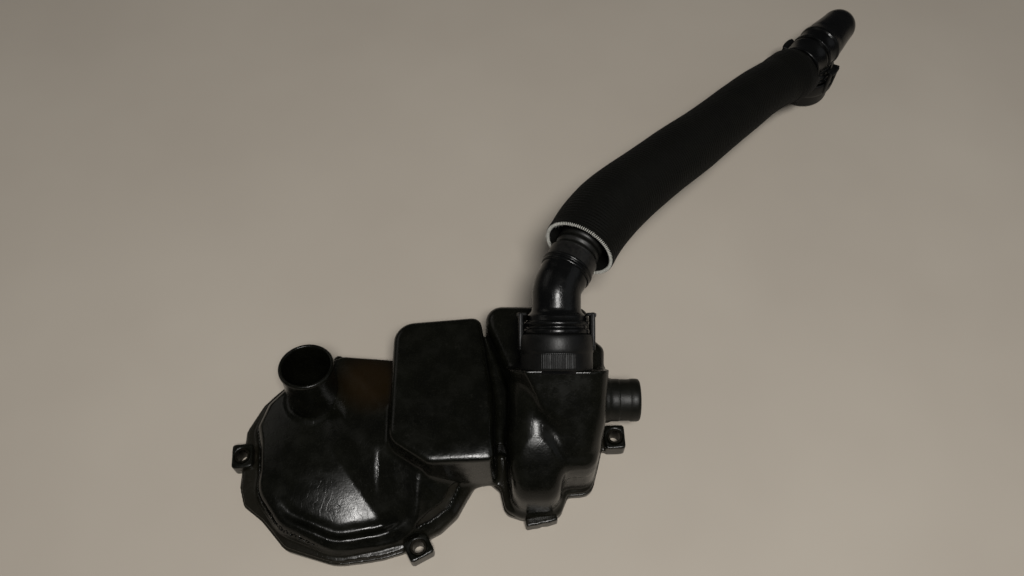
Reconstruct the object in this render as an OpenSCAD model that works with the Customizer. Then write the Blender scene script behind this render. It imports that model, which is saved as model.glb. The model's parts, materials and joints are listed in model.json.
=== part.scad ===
// Crankcase oil separator with a quick-connect breather hose, lying on its engine face.
// The engine face is the plane z = 0, +Z points out of the engine, +Y is up when it is fitted.

/* [Shells] */
// Wall of the moulded shells
wall = 2.5; // [2:0.1:3]
// Thickness of the rear cover's rim
rim_t = 5.5; // [4.5:0.5:7]
// Thickness of the front housing's weld flange
flange_t = 3; // [2:0.5:4]
// How far the rear cover's rim shows outside the front housing
weld_step = 0.9; // [0.5:0.1:1.5]
// Thickness of the rear cover's floor
floor_t = 2.5; // [2:0.1:3]
// Draft of the box and chamber walls, in degrees
draft = 2; // [1:0.5:3]

/* [Bowl] */
// Reach of the bowl to the left of the origin
bowl_left = 108; // [100:1:112]
// Reach of the bowl towards the sump
bowl_front = 63; // [58:1:66]
// Reach of the bowl towards the head
bowl_back = 60; // [56:1:64]
// Height of the bead along the bowl's edge
bead_z = 24; // [21:0.5:27]
// Depth of the groove inside the bead
bead_drop = 4.5; // [2:0.5:5]
// Height of the bowl's crown above the groove
bowl_rise = 6; // [4:0.5:8]
// Height of the folded ramp between the bowl and the box
ramp_z = 30; // [28:0.5:33]

/* [Box] */
// Left wall of the middle box, from the origin
box_left = 20; // [17:1:23]
// Right wall of the middle box, from the origin
box_right = 41; // [40:0.5:43]
// Back wall of the middle box, from the origin
box_back = 67; // [63:1:70]
// Front wall of the middle box, from the origin
box_front = 21; // [18:1:23]
// Height of the middle box
box_z = 50; // [47:0.5:54]
// Rounding of the box and chamber tops
box_edge = 7; // [5:0.5:8]

/* [Chamber] */
// Right wall of the chamber, from the origin
chamber_right = 105; // [103:0.5:108]
// Left wall of the chamber, from the origin
chamber_left = 45; // [44:0.5:47]
// Back wall of the chamber, from the origin
chamber_back = 78; // [75:1:81]
// Front wall of the chamber, from the origin
chamber_front = 21; // [20:0.5:22]
// Height of the chamber's deck
chamber_z = 46; // [44:0.5:47]
// Radius of the cyclone barrel
barrel_r = 14; // [13.75:0.25:14.5]
// Height of the cyclone barrel's axis
barrel_z = 46; // [45:0.5:47]
// Place of the cyclone barrel's axis across the part
barrel_x = 64; // [63:0.5:65]
// Back end of the cyclone barrel
barrel_back = 26; // [24:0.5:28]
// Front end of the cyclone barrel, where it turns down to the oil drain
barrel_front = 12; // [10:0.5:14]
// Reach of the drain sump in front of the barrel
sump_front = 36.5; // [35:0.5:37]

/* [Inlet stub] */
// Outside radius of the inlet stub
stub_r = 16; // [15:0.25:17]
// Wall of the inlet stub
stub_wall = 2.2; // [1.8:0.1:2.6]
// Height of the stub's rim above the engine face
stub_z = 55; // [50:1:60]
// Lean of the stub towards the head, in degrees
stub_lean = 12; // [8:1:14]
// Height of the rounded lip at the stub's rim
stub_lip = 4; // [3:0.5:5]

/* [Side port] */
// Outside radius of the side port
port_r = 11.5; // [10.5:0.25:12]
// Outside radius of the collar at the port's root
port_collar_r = 13.3; // [12.5:0.1:14]
// Length of the collar at the port's root
port_collar_l = 6; // [4:0.5:8]
// Reach of the port's tip from the origin
port_tip = 127; // [124:1:132]
// Wall of the side port
port_wall = 2.2; // [1.8:0.1:2.6]
// Place of the port's axis up the chamber
port_y = 26; // [24:0.5:28]
// Height of the port's axis
port_z = 30; // [29:0.5:31]

/* [Spigot] */
// Outside radius of the hose spigot
spigot_r = 14; // [13.5:0.1:14.5]
// Wall of the hose spigot
spigot_wall = 2.2; // [1.8:0.1:2.6]
// Length of the hose spigot
spigot_l = 24; // [22:0.5:26]
// Radius of the root that carries the spigot
spigot_root_r = 18.5; // [17.5:0.25:19]
// Slope of the spigot, in degrees
spigot_slope = 27; // [25:0.5:29]

/* [Lugs] */
// Outside radius of a fixing lug
lug_r = 7; // [6.75:0.25:7.5]
// Height of a fixing lug
lug_h = 12; // [10:0.5:14]
// Width of the block in front of the sump
tab_w = 18.5; // [16:0.5:20]
// Height of the block in front of the sump
tab_h = 10; // [9:0.5:12]
// Radius of the bolt hole in a bush
bolt_r = 3.3; // [3.1:0.1:3.6]
// Wall of a lug bush
bush_wall = 1.2; // [1:0.1:1.4]
// Gap between a bush and its lug
bush_gap = 0.05; // [0.02:0.01:0.1]

/* [Engine face] */
// Width of the crankcase opening
inlet_w = 52; // [48:1:56]
// Height of the crankcase opening
inlet_h = 36; // [32:1:40]
// Corner radius of the crankcase opening
inlet_r = 9; // [7:0.5:11]
// Width of the gasket
gasket_w = 4; // [3.5:0.1:5]
// Depth of the gasket in its groove
gasket_h = 1.6; // [1.2:0.1:1.8]
// Gap between the gasket and its groove
gasket_gap = 0.15; // [0.1:0.01:0.3]
// Radius of the oil drain hole
drain_r = 5; // [4:0.25:5.5]

/* [Inner pieces] */
// Gap between an inner piece and what carries it
seat_gap = 0.2; // [0.15:0.01:0.3]
// Thickness of the baffle insert's walls
baffle_t = 1.8; // [1.5:0.1:2]
// Height of the baffle insert's deck
deck_z = 26; // [24:0.5:27]
// Thickness of the nozzle plate
nozzle_t = 2; // [1.6:0.1:2.4]
// Radius of a nozzle
nozzle_r = 2.2; // [1.8:0.1:2.5]
// Spacing of the nozzles
nozzle_step = 8; // [7:0.25:8.5]
// Thickness of the fleece pad
fleece_t = 5; // [4:0.25:5.5]
// Radius of the bypass valve's plate
valve_r = 9; // [8.5:0.25:9.5]
// Radius of the bypass valve's stem
valve_stem_r = 1.6; // [1.4:0.1:1.9]
// Running gap round a valve stem
run_gap = 0.05; // [0.03:0.01:0.08]
// Wire radius of the bypass valve's spring
spring_wire = 0.35; // [0.3:0.05:0.45]
// Travel of the drain valve's disc
drain_travel = 2; // [1.5:0.1:2.2]
// Thickness of the drain valve's disc
drain_disc_t = 1.4; // [1.2:0.1:1.6]

/* [Hose] */
// Outside radius of the hose
hose_r = 13.5; // [13:0.1:13.75]
// Wall of the hose
hose_wall = 2.6; // [2.3:0.1:2.8]
// Outside radius of the protective sleeve
sleeve_r = 18.5; // [18:0.25:19]
// Wall of the protective sleeve
sleeve_wall = 2.9; // [2.6:0.1:3.1]
// Length of hose left bare at the near end
bare_near = 19; // [17:1:22]

/* [Connectors] */
// Outside radius of a connector's socket
socket_r = 17.2; // [17:0.1:17.4]
// Gap between a spigot and its socket
socket_gap = 0.15; // [0.1:0.01:0.25]
// Depth of a socket
socket_l = 28; // [27:0.5:29]
// Distance of the seal groove from a socket's mouth
seal_at = 15; // [14:0.5:17]
// Outside radius of the elbow's tube
elbow_r = 13.8; // [13.5:0.1:14]
// Bore of the elbow's tube
elbow_bore = 8; // [7:0.25:8.5]
// Outside radius of a release ring
ring_r = 21; // [20.8:0.1:21.5]
// Wall of a release ring
ring_wall = 2.2; // [1.8:0.1:2.4]
// Width of a release ring
ring_w = 20; // [19:0.5:21]
// Length of a release ring with its ears
ear_l = 32; // [31:0.5:33]
// Length of the barb inside the hose
barb_l = 16; // [14:0.5:17]
// Width of a clamp band
clamp_w = 8; // [7:0.5:9]
// Thickness of a clamp band
clamp_t = 0.9; // [0.7:0.1:1.1]
// Radius of the domed end of the far connector
dome_r = 12.8; // [12:0.1:13.5]
// Height of the far connector's barrel
far_z = 38; // [37:0.5:40]

/* [Hidden] */

black = "#1b1b1c";
rubber = "#101010";
steel = "#a9adb0";
inner_grey = "#33363a";
fleece_white = "#d9d6cc";
textile = "#26251f";

// Small overlap that keeps a cut clear of the face it leaves
cut = 1;
// Straight pieces in a rounded corner
arc_n = 3;

// Plans of the shells, anticlockwise from +Z: x, y, corner radius
rim_plan = [
    [-bowl_left + 2, -32, 5], [-80, -bowl_front + 7, 16], [-50, -bowl_front - 3, 24],
    [-23, -bowl_front + 1, 10], [-13, -bowl_front + 4, 5], [9, -47, 8], [18, -38, 8],
    [28, -17, 5], [37, -15, 3], [43, -22, 4], [46, -35, 6], [56, -39, 5],
    [78, -38, 5], [83, -chamber_front - 4, 2.5], [98, -chamber_front - 3, 8],
    [chamber_right, 6, 10], [chamber_right + 2, 54, 8], [chamber_right - 6, 64, 8],
    [chamber_right - 6, chamber_back + 1, 10],
    [37, chamber_back + 1, 8], [33, box_back + 2, 4], [-14, box_back + 1, 12],
    [-26, bowl_back + 1, 6], [-54, bowl_back + 3, 8], [-85, bowl_back - 9, 14],
    [-105, 29, 10], [-bowl_left + 1, 14, 4], [-bowl_left + 4, -20, 6]
];
bowl_plan = [
    [-bowl_left + 8, -31, 6], [-78, -bowl_front + 10, 20], [-50, -bowl_front + 1, 24],
    [-24, -bowl_front + 7, 9], [-12, -bowl_front + 12, 5], [4, -44, 8], [15, -36, 8],
    [27, -9, 6], [27, bowl_back - 4, 8], [-54, bowl_back - 1, 9],
    [-83, bowl_back - 12, 12], [-101, 27, 10], [-bowl_left + 4, 13, 5], [-96, 7, 5], [-96, -22, 6]
];
box_plan = [
    [-box_left, box_back, 15], [-box_left, -6, 12], [3, -box_front, 9],
    [18, -14, 9], [box_right, -11, 5], [box_right, box_back + 2, 9]
];
chamber_plan = [
    [chamber_left, chamber_back, 12], [chamber_left, -chamber_front - 2, 8],
    [chamber_right - 9, -chamber_front, 9], [chamber_right - 2, 4, 20],
    [chamber_right, chamber_back - 26, 9], [chamber_right - 9, chamber_back - 19, 7],
    [chamber_right - 9, chamber_back, 12]
];

flange_top = rim_t + flange_t;
spigot_dir = [0, cos(spigot_slope), sin(spigot_slope)];
// Middle of the near socket, on the spigot's axis
near_mid = [75, 46.5, 75];
socket_back = -21.5;
root_face = socket_back - 0.5;
knuckle_at = 26;
near_knuckle = near_mid + knuckle_at * spigot_dir;
near_out = unit([1, 2, 0]);
elbow_bend_r = 20;
// Small step in radius where a bend meets a straight tube
joint_step = 0.3;
// Distance from a knuckle to the stop behind a barb
hose_stop = 10;
hose_near = near_knuckle + (hose_stop + 2) * near_out;

far_dir = unit([7, 8, 0]);
far_mid = [273, 300, far_z];
// Distance from the far socket's axis to the hose's end, clear of the socket's collar
far_reach = socket_r + 1.8;
hose_far = far_mid - far_reach * far_dir;
dome_at = 35;

hose_points = concat(
    [hose_near, hose_near + 11 * near_out, hose_near + 20 * near_out],
    [
        [97, 113, 86], [107, 127.5, 84], [119, 141.5, 81], [133, 156, 77.5],
        [149, 172.5, 73], [167, 191, 67], [186, 211, 60.5], [206, 232, 54], [225, 251.5, 48]
    ],
    [hose_far - 20 * far_dir, hose_far - 11 * far_dir, hose_far]
);

lug_left = [-bowl_left - 3, -2];
lug_bottom = [-3, -56];
lug_right = [chamber_right + 7, 10];
lugs = [lug_left, lug_bottom, lug_right];
bush_r = bolt_r + bush_wall;

inlet_at = [-62, -6];
drain_at = [64, -8];
drain_boss_r = 11.5;
drain_cup_z = 6;
drain_rib = 1;
drain_cup_r = 7.5;
drain_disc_r = 6.6;
drain_seat_t = 2.4;
drain_seat_z = drain_cup_z + drain_rib + drain_disc_t + drain_travel + 0.05;
drain_boss_h = drain_seat_z + drain_seat_t;
seal_wire = 1;
// Radius of the drain seal's middle
drain_seal_r = drain_r + 3;

bridge_z = 34;

stub_foot = [-69, 27, 8];
stub_dir = [0, sin(stub_lean), cos(stub_lean)];
stub_l = (stub_z - 8) / cos(stub_lean);
stub_root = 5;

// Inner pieces of the middle box
vane_x = [-11, -2, 7];
nozzle_x = 18;
nozzle_wide = 60;
nozzle_mid_y = 26;
fleece_x = nozzle_x + nozzle_t + 2;
baffle_back = 57;
baffle_front = -7;
valve_at = [2, 42];
valve_seat_z = deck_z + baffle_t;
valve_t = 1.4;
valve_hole_r = 7;
valve_spring_r = 4.2;
guide_top = valve_seat_z + 15;
guide_t = 1.6;

barb_r = (hose_r - hose_wall) * cos(180 / 12) - 0.1;

function unit(v) = v / norm(v);
function edge_dir(a, b) = unit([b[0] - a[0], b[1] - a[1]]);
function left_of(e) = [-e[1], e[0]];

// One rounded corner of a plan that is inset by d
function corner(p, a, b, d) =
    let (
        e1 = edge_dir(a, p),
        e2 = edge_dir(p, b),
        n1 = left_of(e1),
        n2 = left_of(e2),
        turn = e1[0] * e2[1] - e1[1] * e2[0],
        v = [p[0], p[1]] + d * (n1 + n2) / (1 + n1 * n2),
        r = max(0.4, p[2] - d * sign(turn)),
        sweep = asin(max(-1, min(1, turn))),
        angle = (e1 * e2 > 0) ? sweep : sign(turn) * 180 - sweep,
        t = r * tan(abs(angle) / 2),
        middle = v - t * e1 + sign(turn) * r * n1,
        start = -sign(turn) * n1
    )
    [for (k = [0:arc_n]) middle + r * turned(start, angle * k / arc_n)];

function turned(v, a) = [v[0] * cos(a) - v[1] * sin(a), v[0] * sin(a) + v[1] * cos(a)];

// Outline of a plan, inset by d
function outline(plan, d = 0) =
    let (n = len(plan))
    [for (i = [0:n - 1]) each corner(plan[i], plan[(i + n - 1) % n], plan[(i + 1) % n], d)];

function ring_at(plan, d, z) = [for (p = outline(plan, d)) [p[0], p[1], z]];

// Faces between rings of m points each, closed by flat ends
function loft_faces(m, k, far_cap = true) = concat(
    [[for (i = [0:m - 1]) i]],
    [
        for (j = [0:k - 2], i = [0:m - 1])
            let (n = (i + 1) % m)
            [j * m + i, (j + 1) * m + i, (j + 1) * m + n, j * m + n]
    ],
    far_cap ? [[for (i = [m - 1:-1:0]) (k - 1) * m + i]] : []
);

module loft(rings) {
    points = [for (ring = rings) each ring];
    polyhedron(points, loft_faces(len(rings[0]), len(rings)), convexity = 8);
}

// A drafted block with a rounded top edge
module moulded(plan, z0, z1, inset, edge) {
    side = z1 - edge;
    lean = (side - z0) * tan(draft);
    loft(concat(
        [ring_at(plan, inset, z0)],
        [
            for (a = [0:30:90])
                ring_at(plan, inset + lean + edge * (1 - cos(a)), side + edge * sin(a))
        ]
    ));
}

// The bowl: a bead along its edge, a groove inside it, and a crown that rises to the box
function bowl_crown(x, y) = bead_z - bead_drop + bowl_rise * max(0, min(1, (y + 46) / 70));
// Height along the bead; the hollow behind it stays below the groove
function bead(drop, down) = bead_z - (down > 0 ? max(drop, bead_drop) : drop) - down;
function bowl_rings(inset, down) =
    let (
        groove = ring_at(bowl_plan, inset + 10, 0),
        middle = [-38, 2]
    )
    concat(
        [
            ring_at(bowl_plan, inset, rim_t + cut),
            ring_at(bowl_plan, inset + 1, bead(5, down)),
            ring_at(bowl_plan, inset + 2.2, bead(1.6, down)),
            ring_at(bowl_plan, inset + 4.4, bead(0, down)),
            ring_at(bowl_plan, inset + 6.8, bead(1.5, down)),
            ring_at(bowl_plan, inset + 8.2, bead(bead_drop - 0.5, down))
        ],
        [
            for (f = [0.1, 0.4, 0.75])
                [
                    for (p = groove)
                        let (q = [p[0] + (middle[0] - p[0]) * f, p[1] + (middle[1] - p[1]) * f])
                        [q[0], q[1], bowl_crown(q[0], q[1]) - down]
                ]
        ]
    );

module bowl(inset, down) {
    rings = bowl_rings(inset, down);
    m = len(rings[0]);
    k = len(rings);
    points = concat([for (ring = rings) each ring], [[-38, 2, bowl_crown(-38, 2) - down]]);
    top = [for (i = [0:m - 1]) [(k - 1) * m + i, k * m, (k - 1) * m + (i + 1) % m]];
    polyhedron(points, concat(loft_faces(m, k, false), top), convexity = 8);
}

// The folded ramp: creases run from the stub and from the bowl's floor to the box
module ramp(down) {
    base = rim_t + 2 * cut;
    plan = [[-56, -5], [-25, -43], [-4, -44], [8, -14], [-10, 30], [-28, 24]];
    top = [bead_z - 1, bead_z - 4, ramp_z - 6, ramp_z + 4, ramp_z + 5, ramp_z];
    n = len(plan);
    points = concat(
        [for (p = plan) [p[0], p[1], base]],
        [for (i = [0:n - 1]) [plan[i][0], plan[i][1], top[i] - down]],
        [[-20, -10, ramp_z - 1 - down]]
    );
    roof = [for (i = [0:n - 1]) [n + i, 2 * n, n + (i + 1) % n]];
    polyhedron(points, concat(loft_faces(n, 2, false), roof), convexity = 4);
}

// Neck between the box and the chamber, low enough to leave a groove
module bridge() {
    translate([box_right - 5, -6, rim_t + 2 * cut])
        cube([chamber_left - box_right + 10, box_back + 3, bridge_z - rim_t - 2 * cut]);
}

module along(at, dir) {
    translate(at)
        rotate([0, acos(dir[2]), atan2(dir[1], dir[0])])
            children();
}

module front_housing() {
    color(black)
        difference() {
            union() {
                translate([0, 0, rim_t])
                    linear_extrude(flange_t)
                        polygon(outline(rim_plan, weld_step));
                bowl(0, 0);
                ramp(0);
                moulded(box_plan, rim_t + cut, box_z, 0, box_edge);
                moulded(chamber_plan, rim_t + cut, chamber_z, 0, box_edge);
                bridge();
                barrel(0);
                stub_outside();
                port_outside();
                spigot_outside();
            }
            bowl(wall, wall);
            moulded(box_plan, rim_t - cut, box_z - wall, wall, box_edge - wall);
            moulded(chamber_plan, rim_t - cut, chamber_z - wall, wall, box_edge - wall);
            barrel(wall);
            translate([0, 0, rim_t - cut])
                linear_extrude(3 * cut)
                    polygon(outline(bowl_plan, wall));
            stub_inside();
            port_inside();
            spigot_inside();
            box_window();
            swirl_window();
            for (at = lugs)
                translate([at[0], at[1], rim_t - cut])
                    cylinder(r = lug_r + seat_gap, h = lug_h - rim_t + 2 * cut, $fn = 48);
            front_tab(seat_gap);
        }
}

// The cyclone barrel, and the sump in front of it; inset makes the hollow inside
module barrel(inset) {
    translate([barrel_x, barrel_back - inset, barrel_z])
        rotate([90, 0, 0])
            cylinder(r = barrel_r - inset, h = barrel_back + barrel_front - inset, $fn = 64);
    loft([for (v = sump_steps) sump_ring(v, inset)]);
}

// Steps of the sump: share of the height, reach to the front, half width
sump_steps = [
    [0, 1, 1], [0.3, 0.97, 1], [0.55, 0.93, 1], [0.75, 0.85, 0.99],
    [0.88, 0.72, 0.84], [0.96, 0.56, 0.52], [0.99, 0.42, 0.27]
];
function sump_ring(v, inset) =
    let (
        low = rim_t + (inset > 0 ? -cut : cut),
        high = barrel_z + barrel_r - inset,
        w = barrel_r * v[2],
        f = sump_front * v[1],
        r = w * 0.8,
        plan = [[barrel_x - w, 8, 1], [barrel_x - w, -f, r], [barrel_x + w, -f, r], [barrel_x + w, 8, 1]]
    )
    ring_at(plan, min(inset, w - 1), low + (high - low) * v[0]);

// Root that carries the spigot: it rises from the chamber's deck to a round face.
// Corners of its foot: x, y, radius, and the angle on the face that each corner leads to
root_plan = [
    [99, -18, 6, -48], [101, 30, 6, 22], [92, 42, 6, 62], [60, 42, 6, 118], [58, 24, 6, 165], [84, -16, 5, 205]
];
module root_block(inset) {
    face = near_mid + (root_face - inset) * spigot_dir;
    down = [0, spigot_dir[2], -spigot_dir[1]];
    loft([
        ring_at(root_plan, inset, chamber_z - 4 - inset),
        [
            for (q = root_plan, k = [0:arc_n])
                let (a = q[3] + 28 * (k / arc_n - 0.5))
                face + (spigot_root_r - inset) * (cos(a) * [1, 0, 0] + sin(a) * down)
        ]
    ]);
}

module stub_outside() {
    along(stub_foot, stub_dir) {
        translate([0, 0, stub_root])
            cylinder(r = stub_r - 0.8, h = stub_l - stub_root - 0.5, $fn = 64);
        translate([0, 0, stub_l - stub_lip])
            rotate_extrude($fn = 64)
                polygon([[0, 0], [stub_r - 0.8, 0], [stub_r, 0.6], [stub_r, stub_lip - 0.4],
                    [stub_r - 0.4, stub_lip], [0, stub_lip]]);
        translate([0, 0, stub_root])
            cylinder(r = stub_r + 1.2, h = 16, $fn = 64);
    }
}

module stub_inside() {
    along(stub_foot, stub_dir)
        translate([0, 0, 0.5])
            cylinder(r = stub_r - stub_wall, h = stub_l + cut, $fn = 64);
}

module port_outside() {
    root = chamber_right - 12;
    translate([root, port_y, port_z])
        rotate([0, 90, 0]) {
            cylinder(r = port_collar_r, h = chamber_right + port_collar_l - root, $fn = 64);
            cylinder(r = port_r - 0.6, h = port_tip - root - 0.5, $fn = 64);
            translate([0, 0, port_tip - root - 5])
                cylinder(r = port_r, h = 3, $fn = 64);
            translate([0, 0, port_tip - root - 2])
                cylinder(r1 = port_r, r2 = port_r - 0.6, h = 2, $fn = 64);
        }
}

module port_inside() {
    translate([chamber_right - 14, port_y, port_z])
        rotate([0, 90, 0])
            cylinder(r = port_r - port_wall, h = port_tip - chamber_right + 14 + cut, $fn = 64);
}

module spigot_outside() {
    root_block(0);
    along(near_mid + root_face * spigot_dir, spigot_dir) {
        translate([0, 0, -wall])
            cylinder(r = spigot_r, h = wall + spigot_l - 2, $fn = 64);
        translate([0, 0, spigot_l - 2])
            cylinder(r1 = spigot_r, r2 = spigot_r - 1, h = 2, $fn = 64);
    }
}

module spigot_inside() {
    root_block(wall);
    along(near_mid + root_face * spigot_dir, spigot_dir)
        translate([0, 0, -wall - 2])
            cylinder(r = spigot_r - spigot_wall, h = wall + spigot_l + 2 + cut, $fn = 64);
}

// Way from the bowl into the box
module box_window() {
    translate([-box_left - 8, 6, flange_top + 2])
        cube([14, 26, 10]);
}

// Tangential way from the box into the cyclone
module swirl_window() {
    translate([box_right - 8, 2, flange_top])
        cube([chamber_left - box_right + 18, 20, bridge_z - wall - flange_top]);
}

module rear_cover() {
    color(black)
        difference() {
            union() {
                difference() {
                    linear_extrude(rim_t)
                        polygon(outline(rim_plan, 0));
                    translate([0, 0, floor_t])
                        linear_extrude(rim_t)
                            polygon(outline(rim_plan, 9));
                }
                for (at = lugs) {
                    translate([at[0], at[1], 0])
                        cylinder(r = lug_r, h = lug_h, $fn = 48);
                    lug_web(at);
                }
                front_tab(0);
                translate([drain_at[0], drain_at[1], 0])
                    cylinder(r = drain_boss_r, h = drain_boss_h, $fn = 48);
                inlet_collar();
            }
            for (at = lugs)
                translate([at[0], at[1], -cut])
                    cylinder(r = bush_r + bush_gap, h = lug_h + 2 * cut, $fn = 48);
            translate([inlet_at[0], inlet_at[1], -cut])
                linear_extrude(floor_t + 9 + 2 * cut)
                    rounded_slot(0);
            translate([inlet_at[0], inlet_at[1], -cut])
                linear_extrude(cut + gasket_h + gasket_gap)
                    gasket_ring(gasket_gap);
            translate([drain_at[0], drain_at[1], 0])
                drain_bore();
        }
}

// Drain bore, the cup above it with the ribs its disc rests on, and the seal's groove
module drain_bore() {
    translate([0, 0, -cut])
        cylinder(r = drain_r, h = drain_cup_z + 2 * cut, $fn = 48);
    difference() {
        translate([0, 0, drain_cup_z])
            cylinder(r = drain_cup_r, h = drain_boss_h, $fn = 48);
        for (a = [0:90:270])
            rotate([0, 0, a])
                translate([drain_r - 0.5, -0.6, drain_cup_z - cut])
                    cube([drain_cup_r, 1.2, cut + drain_rib]);
    }
    translate([0, 0, -cut])
        rotate_extrude($fn = 48)
            translate([drain_seal_r - seal_wire - gasket_gap, 0])
                square([2 * (seal_wire + gasket_gap), cut + 2 * seal_wire + gasket_gap]);
}

// Web that ties a lug to the rim
module lug_web(at) {
    toward = unit([(at[0] < 0 ? -40 : 64) - at[0], 4 - at[1]]);
    translate([at[0], at[1], 0])
        rotate([0, 0, atan2(toward[1], toward[0])])
            translate([0, -lug_r + 1.5, 0])
                cube([lug_r + 6, 2 * lug_r - 3, rim_t - 0.4]);
}

// Block on the rim in front of the sump
module front_tab(gap) {
    translate([barrel_x + 3, -sump_front - 2.9, 0])
        rotate([0, 0, 12])
            translate([-tab_w / 2 - gap, -2.25 - gap, 0])
                cube([tab_w + 2 * gap, 4.5 + 2 * gap, tab_h + gap]);
}

// Raised collar round the crankcase opening, inside the cover
module inlet_collar() {
    translate([inlet_at[0], inlet_at[1], 0])
        linear_extrude(floor_t + 5)
            rounded_slot(-2);
}

module rounded_slot(inset) {
    w = inlet_w - 2 * inset;
    h = inlet_h - 2 * inset;
    r = inlet_r - inset;
    polygon(outline([[-w / 2, -h / 2, r], [w / 2, -h / 2, r], [w / 2, h / 2, r], [-w / 2, h / 2, r]]));
}

module gasket_ring(grow) {
    difference() {
        rounded_slot(-3.5 - gasket_w - grow);
        rounded_slot(-3.5 + grow);
    }
}

module rear_gasket() {
    color(rubber)
        translate([inlet_at[0], inlet_at[1], 0])
            linear_extrude(gasket_h)
                gasket_ring(0);
}

module drain_seal() {
    color(rubber)
        translate([drain_at[0], drain_at[1], seal_wire])
            rotate_extrude($fn = 64)
                translate([drain_seal_r, 0])
                    circle(r = seal_wire, $fn = 24);
}

module bush(at) {
    color(steel)
        translate([at[0], at[1], 0])
            difference() {
                cylinder(r = bush_r, h = lug_h, $fn = 48);
                translate([0, 0, -cut])
                    cylinder(r = bolt_r, h = lug_h + 2 * cut, $fn = 48);
            }
}

module bush_left() {
    bush(lug_left);
}

module bush_bottom() {
    bush(lug_bottom);
}

module bush_right() {
    bush(lug_right);
}

// Labyrinth that stands on the rear cover's floor, with the deck that carries the bypass valve
module baffle_insert() {
    foot = floor_t + seat_gap;
    long = baffle_back - baffle_front;
    right = fleece_x + fleece_t + 2;
    color(inner_grey)
        difference() {
            union() {
                translate([-15, baffle_front, foot])
                    cube([right + 15, long, baffle_t]);
                for (i = [0:len(vane_x) - 1])
                    translate([vane_x[i], baffle_front + (i % 2) * 16, foot])
                        cube([baffle_t, long - 16, deck_z - foot + 0.5]);
                translate([-15, valve_at[1] - 14, deck_z])
                    cube([nozzle_x + 15 - seat_gap, baffle_back - valve_at[1] + 14, baffle_t]);
                translate([fleece_x + fleece_t + seat_gap, baffle_front, foot])
                    cube([baffle_t, long, 12]);
            }
            translate([valve_at[0], valve_at[1], deck_z - cut])
                cylinder(r = valve_hole_r, h = baffle_t + 2 * cut, $fn = 48);
            for (y = [4, 20, 36])
                translate([fleece_x + fleece_t - cut, y, foot + 4])
                    cube([baffle_t + 3 * cut, 9, 5]);
        }
}

module nozzle_plate() {
    foot = floor_t + seat_gap + baffle_t + seat_gap;
    high = box_z - wall - seat_gap - 1.5 - foot;
    color(inner_grey)
        translate([nozzle_x, nozzle_mid_y, foot])
            difference() {
                translate([0, -nozzle_wide / 2, 0])
                    cube([nozzle_t, nozzle_wide, high]);
                for (i = [-3:3], j = [0:3])
                    translate([-cut, i * nozzle_step, 9 + j * nozzle_step])
                        rotate([0, 90, 0])
                            cylinder(r = nozzle_r, h = nozzle_t + 2 * cut, $fn = 24);
            }
}

module fleece_pad() {
    foot = floor_t + seat_gap + baffle_t + seat_gap;
    color(fleece_white)
        translate([fleece_x, nozzle_mid_y - nozzle_wide / 2, foot])
            cube([fleece_t, nozzle_wide, box_z - wall - 4 - foot]);
}

// Thin cone that lines the cyclone barrel
module cyclone_insert() {
    r = barrel_r - wall - seat_gap;
    t = 1.4;
    l1 = 12;
    l2 = 24;
    tip = 5.5;
    color(inner_grey)
        translate([barrel_x, barrel_back - wall - 4, barrel_z])
            rotate([90, 0, 0])
                rotate_extrude($fn = 64)
                    polygon([[r - t, 0], [r, 0], [r, l1], [tip, l1 + l2], [tip - t, l1 + l2], [r - t, l1]]);
}

module vortex_tube() {
    r = barrel_r - wall - seat_gap;
    color(inner_grey)
        translate([barrel_x, barrel_back - wall - seat_gap, barrel_z])
            rotate([90, 0, 0])
                rotate_extrude($fn = 64)
                    polygon([[4.5, 0], [r, 0], [r, 3.6], [6, 3.6], [6, 17], [4.5, 17]]);
}

// Ring with a guide bridge that the disc closes against
module drain_valve_seat() {
    color(inner_grey)
        translate([drain_at[0], drain_at[1], drain_seat_z])
            difference() {
                cylinder(r = drain_cup_r - bush_gap, h = drain_seat_t, $fn = 48);
                for (a = [0:60:300])
                    rotate([0, 0, a])
                        translate([3.9, 0, -cut])
                            cylinder(r = 1.3, h = drain_seat_t + 2 * cut, $fn = 24);
                translate([0, 0, -cut])
                    cylinder(r = valve_stem_r + run_gap, h = drain_seat_t + 2 * cut, $fn = 24);
            }
}

// Mushroom disc, at rest on the ribs of its cup
module drain_valve_disc() {
    color(rubber)
        translate([drain_at[0], drain_at[1], drain_cup_z + drain_rib + 0.02]) {
            cylinder(r = drain_disc_r, h = drain_disc_t, $fn = 48);
            cylinder(r = valve_stem_r, h = drain_disc_t + drain_travel + drain_seat_t + 1, $fn = 24);
        }
}

// Bridge with three legs over the bypass valve
module bypass_valve_guide() {
    leg = valve_r + 2.2;
    color(inner_grey)
        translate([valve_at[0], valve_at[1], 0])
            difference() {
                union() {
                    translate([0, 0, guide_top - guide_t])
                        cylinder(r = leg + 1, h = guide_t, $fn = 48);
                    for (a = [30:120:270])
                        rotate([0, 0, a])
                            translate([leg, 0, valve_seat_z + 0.02])
                                cylinder(r = 1.2, h = guide_top - valve_seat_z - 0.5, $fn = 24);
                }
                translate([0, 0, guide_top - guide_t - cut])
                    cylinder(r = valve_stem_r + run_gap, h = guide_t + 2 * cut, $fn = 24);
                for (a = [90:120:330])
                    rotate([0, 0, a])
                        translate([leg - 4, 0, guide_top - guide_t - cut])
                            cylinder(r = 2.4, h = guide_t + 2 * cut, $fn = 24);
            }
}

module bypass_valve_plate() {
    color(inner_grey)
        translate([valve_at[0], valve_at[1], valve_seat_z + 0.02]) {
            cylinder(r = valve_r, h = valve_t, $fn = 48);
            cylinder(r = valve_stem_r, h = guide_top - valve_seat_z - 0.02, $fn = 24);
        }
}

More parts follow.
